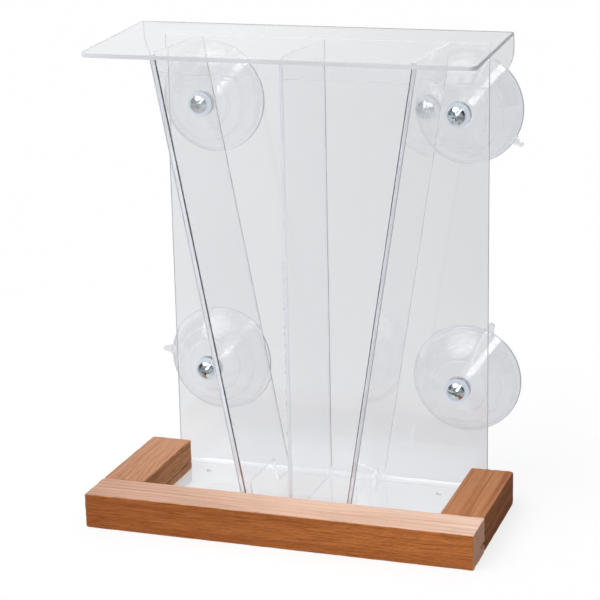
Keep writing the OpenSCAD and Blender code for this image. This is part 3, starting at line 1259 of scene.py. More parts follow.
@dataclass
class JointCement:
    """The thin beads of cement in the hopper's corners and the bubbles beside the divider."""

    hopper: SeedHopper
    bead_r: float = 0.6 * MM
    fine_r: float = 0.16 * MM
    bubbles: int = 60
    bubble_low: float = 0.082
    bubble_high: float = 0.215
    sunk: float = 0.6
    right_share: float = 0.62

    def corner_line(self, side: Side, y: float, radius: float, top: float) -> Joint:
        """A bead's line on the inside of a slanted side panel.

        Args:
            side: left or right.
            y: the bead's depth.
            radius: its radius.
            top: its upper end's height.

        Returns:
            The joint.
        """
        hop = self.hopper
        slant = hop.slant(side)
        offset = -side.value * (hop.sheet_t * math.sqrt(1 + slant * slant) + radius * self.sunk)
        low = hop.floor_top_z + 0.6 * MM
        ends = [(hop.foot_x(side) + slant * (z - hop.floor_top_z) + offset, y, z) for z in (low, top)]
        return Joint(*ends, radius)

    def joints(self) -> list[Joint]:
        """Finds all beads of the hopper.

        Returns:
            The joints: two slanted ones in front, two behind, and the divider's.
        """
        hop = self.hopper
        front = hop.hopper_y + self.bead_r / 2
        back = hop.back_y - self.fine_r / 2
        top = hop.top_z - 0.5 * MM
        radii = {Side.LEFT: self.bead_r, Side.RIGHT: self.bead_r * self.right_share}
        lines = [self.corner_line(side, front, radii[side], top) for side in Side]
        lines += [self.corner_line(side, back, self.fine_r, top) for side in Side]
        beside = hop.sheet_t / 2 + self.fine_r * self.sunk
        low = hop.floor_top_z + 5 * MM
        lines.append(Joint((beside, back, low), (beside, back, top), self.fine_r))
        return lines

    def bead_tree(self) -> bpy.types.NodeTree:
        """Builds the tree that lays a bead of uneven thickness along each line.

        Returns:
            The tree.
        """
        t = TreeMaker("cement_beads")
        paths = t.ask("Paths", "Geometry")
        pace, swell = t.ask("Pace", "Float", 0.003), t.ask("Swell", "Float", 0.5)
        scale, material = t.ask("Swell scale", "Float", 90.0), t.ask("Material", "Material")
        curve = t.add("GeometryNodeMeshToCurve", {"Mesh": paths})
        fine = t.add("GeometryNodeResampleCurve", {"Curve": curve.outputs[0], "Length": pace}, mode="LENGTH")
        size = t.add("GeometryNodeInputNamedAttribute", {"Name": "bead_radius"}, data_type="FLOAT")
        wave = t.add("ShaderNodeTexNoise", {"Scale": scale, "Detail": 2.0})
        share = t.math("MULTIPLY_ADD", t.math("SUBTRACT", wave.outputs[0], 0.5), swell, 1.0)
        radius = t.math("MULTIPLY", size.outputs[0], share)
        sized = t.add("GeometryNodeSetCurveRadius", {"Curve": fine.outputs[0], "Radius": radius})
        ring = t.add("GeometryNodeCurvePrimitiveCircle", {"Resolution": 8, "Radius": 1.0})
        rod = t.add("GeometryNodeCurveToMesh",
                    {"Curve": sized.outputs[0], "Profile Curve": ring.outputs[0], "Fill Caps": True})
        for socket in rod.inputs:
            if socket.name == "Scale":
                t.put(socket, radius)
        t.close(rod.outputs[0], material, 50.0)
        return t.tree

    def bubble_tree(self) -> bpy.types.NodeTree:
        """Builds the tree that scatters long bubbles along a line.

        Returns:
            The tree.
        """
        t = TreeMaker("cement_bubbles")
        path = t.ask("Path", "Geometry")
        count, seed = t.ask("Count", "Int", 40), t.ask("Seed", "Int", 4)
        small, large = t.ask("Least size", "Float", 0.0002), t.ask("Greatest size", "Float", 0.0005)
        spread, long = t.ask("Spread", "Float", 0.0004), t.ask("Greatest length", "Float", 5.0)
        material = t.ask("Material", "Material")
        curve = t.add("GeometryNodeMeshToCurve", {"Mesh": path})
        points = t.add("GeometryNodeCurveToPoints", {"Curve": curve.outputs[0], "Count": count}, mode="COUNT")
        drift = t.add("FunctionNodeRandomValue", {"Seed": seed}, data_type="FLOAT_VECTOR")
        wide = t.add("ShaderNodeCombineXYZ", {0: spread, 1: 0.0, 2: 0.012})
        less = t.add("ShaderNodeVectorMath", {0: wide.outputs[0], "Scale": -1.0}, operation="SCALE")
        t.put(drift.inputs[0], less.outputs[0])
        t.put(drift.inputs[1], wide.outputs[0])
        moved = t.add("GeometryNodeSetPosition",
                      {"Geometry": points.outputs["Points"], "Offset": drift.outputs[0]})
        ball = t.add("GeometryNodeMeshIcoSphere", {"Radius": 1.0, "Subdivisions": 1})
        size = t.add("FunctionNodeRandomValue", {"Seed": t.math("ADD", seed, 1.0)}, data_type="FLOAT")
        t.put(size.inputs[2], small)
        t.put(size.inputs[3], large)
        stretch = t.add("FunctionNodeRandomValue", {2: 1.0, 3: long, "Seed": t.math("ADD", seed, 2.0)},
                        data_type="FLOAT")
        shape = t.add("ShaderNodeCombineXYZ", {
            0: size.outputs[1], 1: t.math("MULTIPLY", size.outputs[1], 0.7),
            2: t.math("MULTIPLY", size.outputs[1], stretch.outputs[1])})
        spread_out = t.add("GeometryNodeInstanceOnPoints", {
            "Points": moved.outputs[0], "Instance": ball.outputs[0], "Scale": shape.outputs[0]})
        t.close(spread_out.outputs[0], material, 80.0)
        return t.tree

    def build(self, cement: bpy.types.Material, pale: bpy.types.Material) -> None:
        """Lays the beads and the bubbles.

        Args:
            cement: the beads' material.
            pale: the bubbles' material.
        """
        lines = self.joints()
        mesh = bpy.data.meshes.new("bead_paths")
        mesh.from_pydata([p for line in lines for p in (line.start, line.end)],
                         [(2 * i, 2 * i + 1) for i in range(len(lines))], [])
        radii = mesh.attributes.new("bead_radius", "FLOAT", "POINT")
        for i, line in enumerate(lines):
            radii.data[2 * i].value = radii.data[2 * i + 1].value = line.radius
        beads = grow("hopper_cement_beads", self.bead_tree(), mesh,
                     {"Pace": 3 * MM, "Swell": 0.9, "Swell scale": 70.0, "Material": cement})
        hop = self.hopper
        x, y = -hop.sheet_t / 2 - 0.35 * MM, hop.hopper_y + 0.35 * MM
        path = polyline("bubble_path", [(x, y, self.bubble_low), (x, y, self.bubble_high)])
        specks = grow("divider_cement_bubbles", self.bubble_tree(), path, {
            "Count": self.bubbles, "Seed": 7, "Least size": 0.07 * MM, "Greatest size": 0.24 * MM,
            "Spread": 0.2 * MM, "Greatest length": 6.0, "Material": pale})
        for piece in (beads, specks):
            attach(piece, "frame")
            log_faces(piece)


@dataclass
class LiftOffRoof:
    """The loose roof: one sheet with its rear edge bent down into a flap."""

    width: float = 298 * MM
    depth: float = 121.5 * MM
    overhang: float = 11.5 * MM
    shift: float = -2.5 * MM
    tilt: float = math.radians(4.2)
    bend_r: float = 2 * MM
    sheet_t: float = SHEET_T
    front_r: float = 7 * MM
    flap_r: float = 30 * MM
    seat_y: float = 20.25 * MM
    seat_z: float = 359.1 * MM

    def build(self, face: bpy.types.Material, edge: bpy.types.Material) -> None:
        """Cuts, bends and dresses the roof.

        Args:
            face: the sheet's clear plastic.
            edge: the same plastic on sawn edges.
        """
        cos, sin = math.cos(self.tilt), math.sin(self.tilt)
        flap_u = self.depth - self.overhang
        outer = self.bend_r + self.sheet_t
        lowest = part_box("roof")[0].z
        flap_h = self.sheet_t - (lowest - self.seat_z - (flap_u - self.sheet_t) * sin) / cos
        flat = self.depth - outer
        bend = (self.bend_r + self.sheet_t / 2) * math.pi / 2
        length = flat + bend + flap_h - outer
        w, front, low = self.width / 2, self.front_r, self.flap_r

        def place(x: float, v: float, up: float) -> tuple[float, float, float]:
            """Bends the flat pattern down into the flap and tilts it.

            Args:
                x: place across the pattern.
                v: place along the pattern, from the roof's front edge.
                up: height in the sheet's thickness.

            Returns:
                The point's place in the feeder.
            """
            radius = self.bend_r + up
            turn = min(max(v - flat, 0.0) / bend, 1.0) * math.pi / 2
            run = min(v, flat) - self.overhang + (radius * math.sin(turn) if v > flat else 0.0)
            rise = -self.bend_r + radius * math.cos(turn) - max(v - flat - bend, 0.0)
            return (x + self.shift, self.seat_y + run * cos - rise * sin,
                    self.seat_z + run * sin + rise * cos)

        outline = corner(-w + front, front, front, 180.0) + corner(w - front, front, front, 270.0)
        outline += corner(w - low, length - low, low, 0.0, 24)
        outline += corner(-w + low, length - low, low, 90.0, 24)
        roof = ClearSheet("roof_sheet", outline, place, folds=fold_lines(flat, bend),
                          thickness=self.sheet_t).cut()
        roof.data.materials.append(face)
        roof.data.materials.append(edge)
        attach(roof, "roof")
        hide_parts("roof")
        log.info("roof_sheet: flap %.1f mm", flap_h / MM)


class CupPlace(Enum):
    """Each cup's column, height in metres and tab angle in degrees."""

    UPPER_LEFT = (-1, HIGH_CUP_Z, 160.0)
    UPPER_RIGHT = (1, HIGH_CUP_Z, -32.0)
    LOWER_LEFT = (-1, LOW_CUP_Z, 175.0)
    LOWER_RIGHT = (1, LOW_CUP_Z, 66.0)

    @property
    def node(self) -> str:
        """The cup's CAD node, which is also its body."""
        return self.name.lower() + "_cup"

    @property
    def screw_node(self) -> str:
        """The screw's CAD node."""
        return self.name.lower() + "_screw"


@dataclass
class SuctionCups:
    """The four clear cups and the screws that hold them."""

    neck_y: float = 122.35 * MM
    neck_r: float = 9.8 * MM
    neck_l: float = 6 * MM
    rim_r: float = 44 * MM
    rim_wall: float = 1.5 * MM
    lip_w: float = 0.6 * MM
    crown_wall: float = 4.5 * MM
    dome_h: float = 27.5 * MM
    bore_r: float = 3.05 * MM
    bore_l: float = 8 * MM
    tab_reach: float = 7.5 * MM
    tab_root_w: float = 10 * MM
    tab_tip_r: float = 2.4 * MM
    tab_t: float = 2 * MM
    tab_lift: float = 0.5 * MM
    head_y: float = 119.15 * MM
    head_r: float = 7 * MM
    head_h: float = 4.3 * MM
    band_h: float = 1.2 * MM
    shank_r: float = 3 * MM
    shank_l: float = 10.7 * MM
    recess_l: float = 7.6 * MM
    recess_w: float = 1.7 * MM
    recess_depth: float = 2.4 * MM
    recess_turn: float = math.radians(20)
    ring_lines: tuple[tuple[float, float, float], ...] = (
        (21.0, 0.7, 0.13), (31.0, 0.7, 0.15), (40.2, 0.7, 0.09))
    ring_tint_w: float = 0.8
    fillet_w: float = 1.6 * MM
    fillet_h: float = 2.2 * MM
    neck_round: float = 0.9 * MM
    thread_pitch: float = 1.0 * MM
    thread_depth: float = 0.45 * MM
    thread_start: float = 3.2 * MM

    @property
    def crown_h(self) -> float:
        """Height of the screw head's domed part."""
        return self.head_h - self.band_h

    def ball_r(self, rim: float, height: float) -> float:
        """Radius of the sphere whose cap has this rim radius and height."""
        return (rim * rim + height * height) / (2 * height)

    def dome_y(self, radius: float, rim: float, height: float) -> float:
        """Distance from the crown of a sphere's cap to its surface at a radius.

        Args:
            radius: distance from the axis.
            rim: the cap's rim radius.
            height: the cap's height.

        Returns:
            The distance along the axis.
        """
        ball = self.ball_r(rim, height)
        return ball - math.sqrt(ball * ball - radius * radius)

    def rib(self, radius: float) -> float:
        """Height of the surface at the ring lines moulded into the dome.

        Args:
            radius: distance from the axis.

        Returns:
            How far the surface stands proud there, below zero in a line.
        """
        height = 0.0
        for place, width, deep in self.ring_lines:
            height -= deep * MM * math.exp(-(((radius / MM) - place) / width) ** 2)
        return height

    def cup_section(self) -> list[Point]:
        """The cup's section from its bore round its outside to its inside, as radius and depth.

        Returns:
            The section's points, from axis to axis.
        """
        crown = self.neck_l
        hollow_h = self.dome_h - self.crown_wall
        hollow_r = self.rim_r - self.rim_wall
        points = [(0.0, self.bore_l), (self.bore_r - 0.3 * MM, self.bore_l),
                  (self.bore_r, self.bore_l - 0.3 * MM), (self.bore_r, 0.4 * MM),
                  (self.bore_r + 0.4 * MM, 0.0)]
        r = self.neck_round
        points += arc((self.neck_r - r, r), r, -90.0, 0.0, 6)
        # Fillet from the neck to the dome
        start = self.neck_r + self.fillet_w
        end_y = crown + self.dome_y(start, self.rim_r, self.dome_h)
        points += [(start - self.fillet_w * math.cos(t), end_y - self.fillet_h * (1 - math.sin(t)))
                   for t in (math.radians(15 * i) for i in range(7))]
        steps = 110
        last = self.rim_r - 0.35 * MM
        for i in range(1, steps + 1):
            radius = start + (last - start) * i / steps
            points.append((radius, crown + self.dome_y(radius, self.rim_r, self.dome_h) - self.rib(radius)))
        rim_y = crown + self.dome_h
        points += [(self.rim_r, rim_y - 0.45 * MM), (self.rim_r, rim_y - 0.2 * MM),
                   (self.rim_r - 0.25 * MM, rim_y), (hollow_r + 0.1 * MM, rim_y)]
        steps = 70
        for i in range(steps + 1):
            radius = hollow_r * (1 - i / steps)
            points.append((radius, crown + self.crown_wall + self.dome_y(radius, hollow_r, hollow_h)))
        return points

    def cup_tree(self) -> bpy.types.NodeTree:
        """Builds the tree that turns a cup and grows its pull tab.

        Returns:
            The tree.
        """
        t = TreeMaker("turned_cup")
        section = t.ask("Section", "Geometry")
        points = t.ask("Section points", "Int", 100)
        segments = t.ask("Segments", "Int", 160)
        root, reach = t.ask("Tab root", "Float", 0.04), t.ask("Tab centre", "Float", 0.05)
        root_w, tip_r = t.ask("Tab root width", "Float", 0.01), t.ask("Tab tip radius", "Float", 0.0024)
        thick, level = t.ask("Tab thickness", "Float", 0.002), t.ask("Tab level", "Float", 0.031)
        angle = t.ask("Tab angle", "Float", 0.0)
        place = t.ask("Place", "Vector")
        material = t.ask("Material", "Material")
        body = t.turn(section, points, segments)
        # The tab is a grid bent to its outline: narrow at the tip, wide at the root
        slab = t.add("GeometryNodeMeshCube", {
            "Vertices X": 40, "Vertices Y": 3, "Vertices Z": 13, "Size": (1.0, 1.0, 1.0)})
        u, v, w = t.split(t.position())
        share = t.math("SINE", t.math("MULTIPLY", t.math("ADD", u, 0.5), math.pi / 2))
        full = t.math("ADD", reach, tip_r)
        x = t.math("ADD", root, t.math("MULTIPLY", share, t.math("SUBTRACT", full, root)))
        beyond = t.math("MAXIMUM", t.math("SUBTRACT", x, reach), 0.0)
        round_half = t.math("SQRT", t.math("MAXIMUM", t.math("SUBTRACT", t.math("MULTIPLY", tip_r, tip_r),
                                                             t.math("MULTIPLY", beyond, beyond)), 4e-8))
        left = t.math("DIVIDE", t.math("SUBTRACT", reach, x), t.math("SUBTRACT", reach, root))
        taper = t.math("MAXIMUM", left, 0.0)
        wider = t.math("MULTIPLY", t.math("POWER", taper, 1.3),
                       t.math("SUBTRACT", t.math("MULTIPLY", root_w, 0.5), tip_r))
        half = t.math("ADD", round_half, wider)
        z = t.math("MULTIPLY", t.math("MULTIPLY", w, 2.0), half)
        # The tab's faces are crowned a little, so that its edge is rounded
        fall = t.math("MULTIPLY", t.math("MULTIPLY", w, w), 3.2)
        crown = t.math("SQRT", t.math("SUBTRACT", 1.02, fall))
        y = t.math("ADD", level, t.math("MULTIPLY", t.math("MULTIPLY", v, thick), crown))
        tab = t.add("GeometryNodeSetPosition",
                    {"Geometry": slab.outputs[0], "Position": t.swing(x, y, z, angle)})
        whole = t.add("GeometryNodeMeshBoolean", operation="UNION", solver="EXACT")
        for part in (body, tab.outputs[0]):
            t.put(whole.inputs["Mesh 2"], part)
        moved = t.add("GeometryNodeTransform", {"Geometry": whole.outputs[0], "Translation": place})
        t.close(moved.outputs[0], material, 32.0)
        return t.tree

    def screw_section(self) -> list[Point]:
        """The screw's section from the head's crown to the shank's end, as radius and depth.

        Returns:
            The section's points, from axis to axis.
        """
        points = []
        for i in range(15):
            radius = self.head_r * math.sin(math.radians(90 * i / 15))
            points.append((radius, self.dome_y(radius, self.head_r, self.crown_h) - self.head_h))
        points += [(self.head_r, -self.band_h), (self.head_r, -0.15 * MM), (self.head_r - 0.15 * MM, 0.0),
                   (self.shank_r + 0.02 * MM, 0.0)]
        steps = 90
        for i in range(steps + 1):
            points.append((self.shank_r, 0.05 * MM + (self.shank_l - 0.55 * MM) * i / steps))
        points += [(self.shank_r - 0.5 * MM, self.shank_l), (0.0, self.shank_l)]
        return points

    def screw_tree(self) -> bpy.types.NodeTree:
        """Builds the tree that turns a screw, threads it and sinks the cross recess.

        Returns:
            The tree.
        """
        t = TreeMaker("cross_recess_screw")
        section = t.ask("Section", "Geometry")
        points = t.ask("Section points", "Int", 100)
        segments = t.ask("Segments", "Int", 48)
        pitch, depth = t.ask("Thread pitch", "Float", 0.001), t.ask("Thread depth", "Float", 0.0004)
        low, high = t.ask("Thread start", "Float", 0.001), t.ask("Thread end", "Float", 0.009)
        length, width = t.ask("Recess length", "Float", 0.0076), t.ask("Recess width", "Float", 0.0017)
        deep, top = t.ask("Recess depth", "Float", 0.0024), t.ask("Head height", "Float", 0.0043)
        angle, place = t.ask("Recess turn", "Float", 0.35), t.ask("Place", "Vector")
        material = t.ask("Material", "Material")
        body = t.turn(section, points, segments, pitch, depth, low, high)
        cuts = []
        for quarter in (0.0, math.pi / 2):
            block = t.add("GeometryNodeMeshCube", {
                "Vertices X": 2, "Vertices Y": 2, "Vertices Z": 2, "Size": (1.0, 1.0, 1.0)})
            u, v, w = t.split(t.position())
            # Wide at the mouth, narrow at the bottom
            mouth = t.math("SUBTRACT", 0.82, t.math("MULTIPLY", v, 0.6))
            grip = t.math("SUBTRACT", 0.86, t.math("MULTIPLY", v, 0.36))
            x = t.math("MULTIPLY", t.math("MULTIPLY", u, length), mouth)
            z = t.math("MULTIPLY", t.math("MULTIPLY", w, width), grip)
            reach = t.math("MULTIPLY", deep, 1.6)
            y = t.math("ADD", t.math("MULTIPLY", t.math("ADD", v, 0.5), reach),
                       t.math("SUBTRACT", t.math("SUBTRACT", deep, reach), top))
            spot = t.swing(x, y, z, t.math("ADD", angle, quarter))
            cuts.append(t.add("GeometryNodeSetPosition",
                              {"Geometry": block.outputs[0], "Position": spot}).outputs[0])
        carved = t.add("GeometryNodeMeshBoolean", {"Mesh 1": body}, operation="DIFFERENCE", solver="EXACT")
        for cutter in cuts:
            t.put(carved.inputs["Mesh 2"], cutter)
        moved = t.add("GeometryNodeTransform", {"Geometry": carved.outputs[0], "Translation": place})
        t.close(moved.outputs[0], material, 30.0)
        return t.tree

    def tint_neck_and_lip(self, cup: bpy.types.Object, x: float, z: float, neck: bpy.types.Material,
                          lip: bpy.types.Material) -> None:
        """Gives a cup's neck and lip their own finishes, and marks its ring lines for the vinyl's dust.

        Args:
            cup: the cup.
            x: X of its axis.
            z: Z of its axis.
            neck: the outside of the thick neck's bluer finish.
            lip: the lip's darker finish, painted shade that draws the rim's dark outline, with a painted
                glow.
        """
        cup.data.materials.append(neck)
        cup.data.materials.append(lip)
        radii = [math.hypot(v.co.x - x, v.co.z - z) / MM for v in cup.data.vertices]
        marks = [sum(math.exp(-(((r - place) / self.ring_tint_w) ** 2)) for place, _, _ in self.ring_lines)
                 for r in radii]
        cup.data.attributes.new("ring", "FLOAT", "POINT").data.foreach_set("value", marks)
        neck_end = self.neck_y + self.neck_l
        lip_end = neck_end + self.dome_h - 0.1 * MM
        for face in cup.data.polygons:
            beside = math.hypot(face.center.x - x, face.center.z - z)
            on_neck = self.bore_r + 0.5 * MM < beside < self.neck_r + 1.2 * MM
            on_lip = self.rim_r - self.lip_w < beside < self.rim_r + 0.1 * MM
            if on_neck and face.center.y < neck_end:
                face.material_index = 1
            elif on_lip and face.center.y < lip_end:
                face.material_index = 2

    def paint_recess_shade(self, screw: bpy.types.Object, x: float, z: float, grime_and_painted_shade: bpy.types.Material) -> None:
        """Gives the faces sunk in a screw's head their own darker finish, painted shade in the recess.

        Args:
            screw: the screw.
            x: X of its axis.
            z: Z of its axis.
            grime_and_painted_shade: the darker finish that paints the recess's shade.
        """
        ball = self.ball_r(self.head_r, self.crown_h)
        heart = Vector((x, self.head_y - self.head_h + ball, z))
        screw.data.materials.append(grime_and_painted_shade)
        for face in screw.data.polygons:
            beside = math.hypot(face.center.x - x, face.center.z - z)
            sunk = ball - (face.center - heart).length
            ahead = face.center.y < self.head_y - 0.5 * MM
            if ahead and beside < self.recess_l * 0.62 and sunk > 0.12 * MM:
                face.material_index = 1

    def build(self, vinyl: bpy.types.Material, neck: bpy.types.Material, lip: bpy.types.Material,
              plating: bpy.types.Material, grime_and_painted_shade: bpy.types.Material) -> None:
        """Builds and dresses the cups and their screws.

        Args:
            vinyl: the cups' soft clear plastic.
            neck: the same plastic on the necks.
            lip: the same plastic on the lips, darkened as painted shade and given a painted glow.
            plating: the screws' plating.
            grime_and_painted_shade: the darker finish in the screws' recesses, painted shade.
        """
        cup_tree, screw_tree = self.cup_tree(), self.screw_tree()
        cup_line, screw_line = self.cup_section(), self.screw_section()
        for spot in CupPlace:
            column, z, tab = spot.value
            x = column * CUP_X
            cup = grow(spot.node + "_turned", cup_tree, polyline("cup_section", cup_line), {
                "Section points": len(cup_line), "Segments": 180,
                "Tab root": self.rim_r - self.rim_wall - self.tab_t / 2,
                "Tab centre": self.rim_r + self.tab_reach - self.tab_tip_r,
                "Tab root width": self.tab_root_w, "Tab tip radius": self.tab_tip_r,
                "Tab thickness": self.tab_t,
                "Tab level": self.neck_l + self.dome_h - self.tab_lift - self.tab_t / 2,
                "Tab angle": math.radians(tab), "Place": (x, self.neck_y, z), "Material": vinyl})
            screw = grow(spot.screw_node + "_turned", screw_tree, polyline("screw_section", screw_line), {
                "Section points": len(screw_line), "Segments": 56, "Thread pitch": self.thread_pitch,
                "Thread depth": self.thread_depth, "Thread start": self.thread_start,
                "Thread end": self.shank_l - 0.6 * MM,
                "Recess length": self.recess_l, "Recess width": self.recess_w,
                "Recess depth": self.recess_depth, "Head height": self.head_h,
                "Recess turn": self.recess_turn, "Place": (x, self.head_y, z), "Material": plating})
            self.tint_neck_and_lip(cup, x, z, neck, lip)
            self.paint_recess_shade(screw, x, z, grime_and_painted_shade)
            for piece, node, slot in ((cup, spot.node, "clear_vinyl"),
                                      (screw, spot.screw_node, "chrome_steel")):
                fix_outward(piece)
                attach(piece, spot.node)
                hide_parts(node)
                log_faces(piece)


def fix_outward(piece: bpy.types.Object) -> None:
    """Turns a closed piece's faces outwards.

    Args:
        piece: the piece.
    """
    bm = bmesh.new()
    bm.from_mesh(piece.data)
    turn_outward(bm, piece.name)
    bm.to_mesh(piece.data)
    bm.free()


# Studio


class Fade(NamedTuple):
    """A level that goes from one value to another over a stretch of a direction or a distance."""

    start: float
    end: float
    first: float
    last: float


@dataclass
class Studio:
    """The camera, floor, lamps and surroundings."""

    place: tuple[float, float, float] = (0.449811, -1.239035, 0.564079)
    yaw: float = math.radians(17.2767)
    pitch: float = math.radians(15.0829)
    roll: float = math.radians(-0.7221)
    lens: float = 113.106
    sensor: float = 36.0
    shift: Point = (-0.1, -0.05)
    backdrop: float = 0.79
    backdrop_tint: Colour = (0.972, 0.982, 1.012)
    ambient: float = 0.46
    floor_matt: float = 0.25
    floor_bounce: float = 0.45
    floor_half: float = 6.0
    floor_near: Fade = Fade(0.15, 0.30, 0.05, -0.02)
    floor_far: Fade = Fade(1.7, 2.6, 0.0, 0.04)
    floor_beside: Fade = Fade(-0.2, 0.2, 0.05, -0.045)
    view_slope: float = 0.331
    view_shift: float = 0.04
    mirrored_near: Fade = Fade(0.25, 0.55, 0.34, 0.06)
    mirrored_far: Fade = Fade(2.0, 4.0, 0.0, 0.36)
    sweep_by_depth: Fade = Fade(-0.30, 0.45, 0.05, 0.95)
    sweep_by_side: Fade = Fade(-0.36, -0.16, 1.06, 0.76)
    sweep_by_height: Fade = Fade(0.55, 0.85, 1.0, 0.2)
    ceiling_by_height: Fade = Fade(0.66, 0.82, 0.0, 0.45)
    ceiling_by_depth: Fade = Fade(-0.50, -0.30, 1.0, 0.0)
    band_foot: Fade = Fade(-0.10, -0.05, 0.0, 0.42)
    band_top: Fade = Fade(0.38, 0.46, 1.0, 0.0)
    band_by_depth: Fade = Fade(-0.60, -0.45, 1.0, 0.0)
    strip_foot: Fade = Fade(0.0, 0.08, 0.0, 1.0)
    strip_blur: float = 1.6
    room_side: float = 0.8
    brighter_left: float = 1.2
    dimmer_right: float = 0.72
    backdrop_by_depth: Fade = Fade(0.40, 0.65, 0.0, 1.0)
    sun: float = 1.9
    sun_spread: float = math.radians(50)
    sun_tilt: Point = (math.radians(26), math.radians(-20))
    strips: tuple[tuple[float, float, float], ...] = (
        (0.72, 0.085, 3.5), (0.26, 0.012, 2.4), (0.50, 0.20, 0.8))

    @property
    def floor_lit(self) -> float:
        """How bright the floor's matt part is where nothing shades it."""
        level = self.sun * math.cos(self.sun_tilt[0]) * math.cos(self.sun_tilt[1]) / math.pi + self.ambient
        return self.floor_matt * level

    def build_camera(self) -> None:
        """Sets the camera at the photograph's angle."""
        reach = math.cos(self.pitch)
        fwd = Vector((-math.sin(self.yaw) * reach, math.cos(self.yaw) * reach, -math.sin(self.pitch)))
        level = Vector((math.cos(self.yaw), math.sin(self.yaw), 0.0))
        rise = level.cross(fwd)
        right = level * math.cos(self.roll) + rise * math.sin(self.roll)
        up = rise * math.cos(self.roll) - level * math.sin(self.roll)
        data = bpy.data.cameras.new("view")
        data.lens, data.sensor_width = self.lens, self.sensor
        data.sensor_fit = "HORIZONTAL"
        data.shift_x, data.shift_y = self.shift
        data.clip_start, data.clip_end = 0.05, 60.0
        camera = bpy.data.objects.new("view", data)
        turn = Matrix((right, up, -fwd)).transposed().to_4x4()
        camera.matrix_world = Matrix.Translation(self.place) @ turn
        bpy.context.scene.collection.objects.link(camera)
        bpy.context.scene.camera = camera

    def build_floor(self) -> None:
        """Lays the plain pale floor."""
        half = self.floor_half
        mesh = bpy.data.meshes.new("floor")
        corners = [(-half, -half, 0), (half, -half, 0), (half, half, 0), (-half, half, 0)]
        mesh.from_pydata(corners, [], [(0, 1, 2, 3)])
        floor = new_piece("floor", mesh)
        s = Shader("pale_floor")
        matt = s.make("BsdfDiffuse", {"Color": (self.floor_matt,) * 3})
        path = s.add("ShaderNodeLightPath").outputs
        x, y, _ = s.split(s.spot())
        # Seen through the clear parts the sweep is a little dimmer near the feeder and to the right
        far = s.math("ADD", s.ramp(y, *self.floor_near), s.ramp(y, *self.floor_far))
        sideways = s.math("MULTIPLY_ADD", y, self.view_slope, s.math("SUBTRACT", x, self.view_shift))
        beside = s.ramp(sideways, *self.floor_beside, smooth=False)
        seen_through = s.math("ADD", far, s.math("ADD", beside, self.backdrop - self.floor_lit))
        aside = s.math("SQRT", s.math("ADD", s.math("MULTIPLY", x, x), s.math("MULTIPLY", y, y)))
        mirrored = s.math("ADD", s.ramp(aside, *self.mirrored_near), s.ramp(aside, *self.mirrored_far))
        level = self.floor_bounce
        for output, value in (("Is Glossy Ray", mirrored), ("Is Transmission Ray", seen_through),
                              ("Is Camera Ray", 1.0 - self.floor_lit)):
            share = path[output]
            kept = s.math("MULTIPLY", s.math("SUBTRACT", 1.0, share), level)
            level = s.math("MULTIPLY_ADD", share, value, kept)
        colour = s.blend(path["Is Camera Ray"], self.backdrop_tint, (1.0, 1.0, 1.0))
        glow = s.make("Emission", {"Color": colour, "Strength": level})
        floor.data.materials.append(s.finish(s.make("AddShader", {0: matt, 1: glow})))

    def room(self, w: Nodes, x: bpy.types.NodeSocket, y: bpy.types.NodeSocket,
             z: bpy.types.NodeSocket) -> bpy.types.NodeSocket:
        """The studio's brightness by direction, as the clear parts mirror it.

        Args:
            w: the world's node tree.
            x: X of the direction.
            y: Y of the direction.
            z: Z of the direction.

        Returns:
            The brightness.
        """
        # A pale sweep behind the object and a soft ceiling
        beside = w.ramp(x, *self.sweep_by_side, smooth=False)
        behind = w.math("MULTIPLY", w.ramp(y, *self.sweep_by_depth), beside)
        behind = w.math("MULTIPLY", behind, w.ramp(z, *self.sweep_by_height, smooth=False))
        above = w.math("MULTIPLY", w.ramp(z, *self.ceiling_by_height), w.ramp(y, *self.ceiling_by_depth))
        # A paler band of the dim room in front, low over the floor
        low = w.math("MULTIPLY", w.ramp(z, *self.band_foot), w.ramp(z, *self.band_top))
        low = w.math("MULTIPLY", low, w.ramp(y, *self.band_by_depth, smooth=False))
        # Long slanted strip lamps that end at the horizon
        strip = 0.0
        for slope, half, power in self.strips:
            lean = w.math("SUBTRACT", x, w.math("MULTIPLY", z, slope))
            across = w.ramp(w.math("ABSOLUTE", lean), half, half * self.strip_blur, power, 0.0)
            strip = w.math("ADD", across, strip)
        strip = w.math("MULTIPLY", strip, w.ramp(z, *self.strip_foot))
        return w.math("ADD", w.math("ADD", w.math("ADD", behind, above), strip), low)

    def build_world(self) -> None:
        """Surrounds the object with a pale studio, white to the camera."""
        world = bpy.data.worlds.new("studio")
        world.use_nodes = True
        w = Nodes(world.node_tree)

        def between(share: object, first: object, second: object) -> bpy.types.NodeSocket:
            """Goes from the first value to the second with the share."""
            return w.math("MULTIPLY_ADD", share, w.math("SUBTRACT", second, first), first)

        path = w.add("ShaderNodeLightPath").outputs
        x, y, z = w.split(w.add("ShaderNodeTexCoord").outputs["Generated"])
        room = self.room(w, x, y, z)
        through = path["Is Transmission Ray"]
        mirror = w.math("MULTIPLY", path["Is Glossy Ray"], w.math("SUBTRACT", 1.0, through))
        # The left side of the room is the brighter one
        left, right = self.ambient * self.brighter_left, self.ambient * self.dimmer_right
        soft = w.ramp(x, -self.room_side, self.room_side, left, right, smooth=False)
        beyond = between(w.ramp(y, *self.backdrop_by_depth), room, self.backdrop)
        level = between(through, between(mirror, soft, room), beyond)
        level = between(path["Is Camera Ray"], level, 1.0)
        shell = w.add("ShaderNodeBackground", {"Color": (1.0, 1.0, 1.0), "Strength": level})
        w.add("ShaderNodeOutputWorld", {0: shell.outputs[0]})
        bpy.context.scene.world = world

    def add_sun(self) -> None:
        """Hangs the broad overhead light, which is the same everywhere."""
        data = bpy.data.lights.new("overhead", "SUN")
        data.energy = self.sun
        data.angle = self.sun_spread
        lamp = bpy.data.objects.new("overhead", data)
        lamp.rotation_euler = (self.sun_tilt[0], self.sun_tilt[1], 0.0)
        bpy.context.scene.collection.objects.link(lamp)

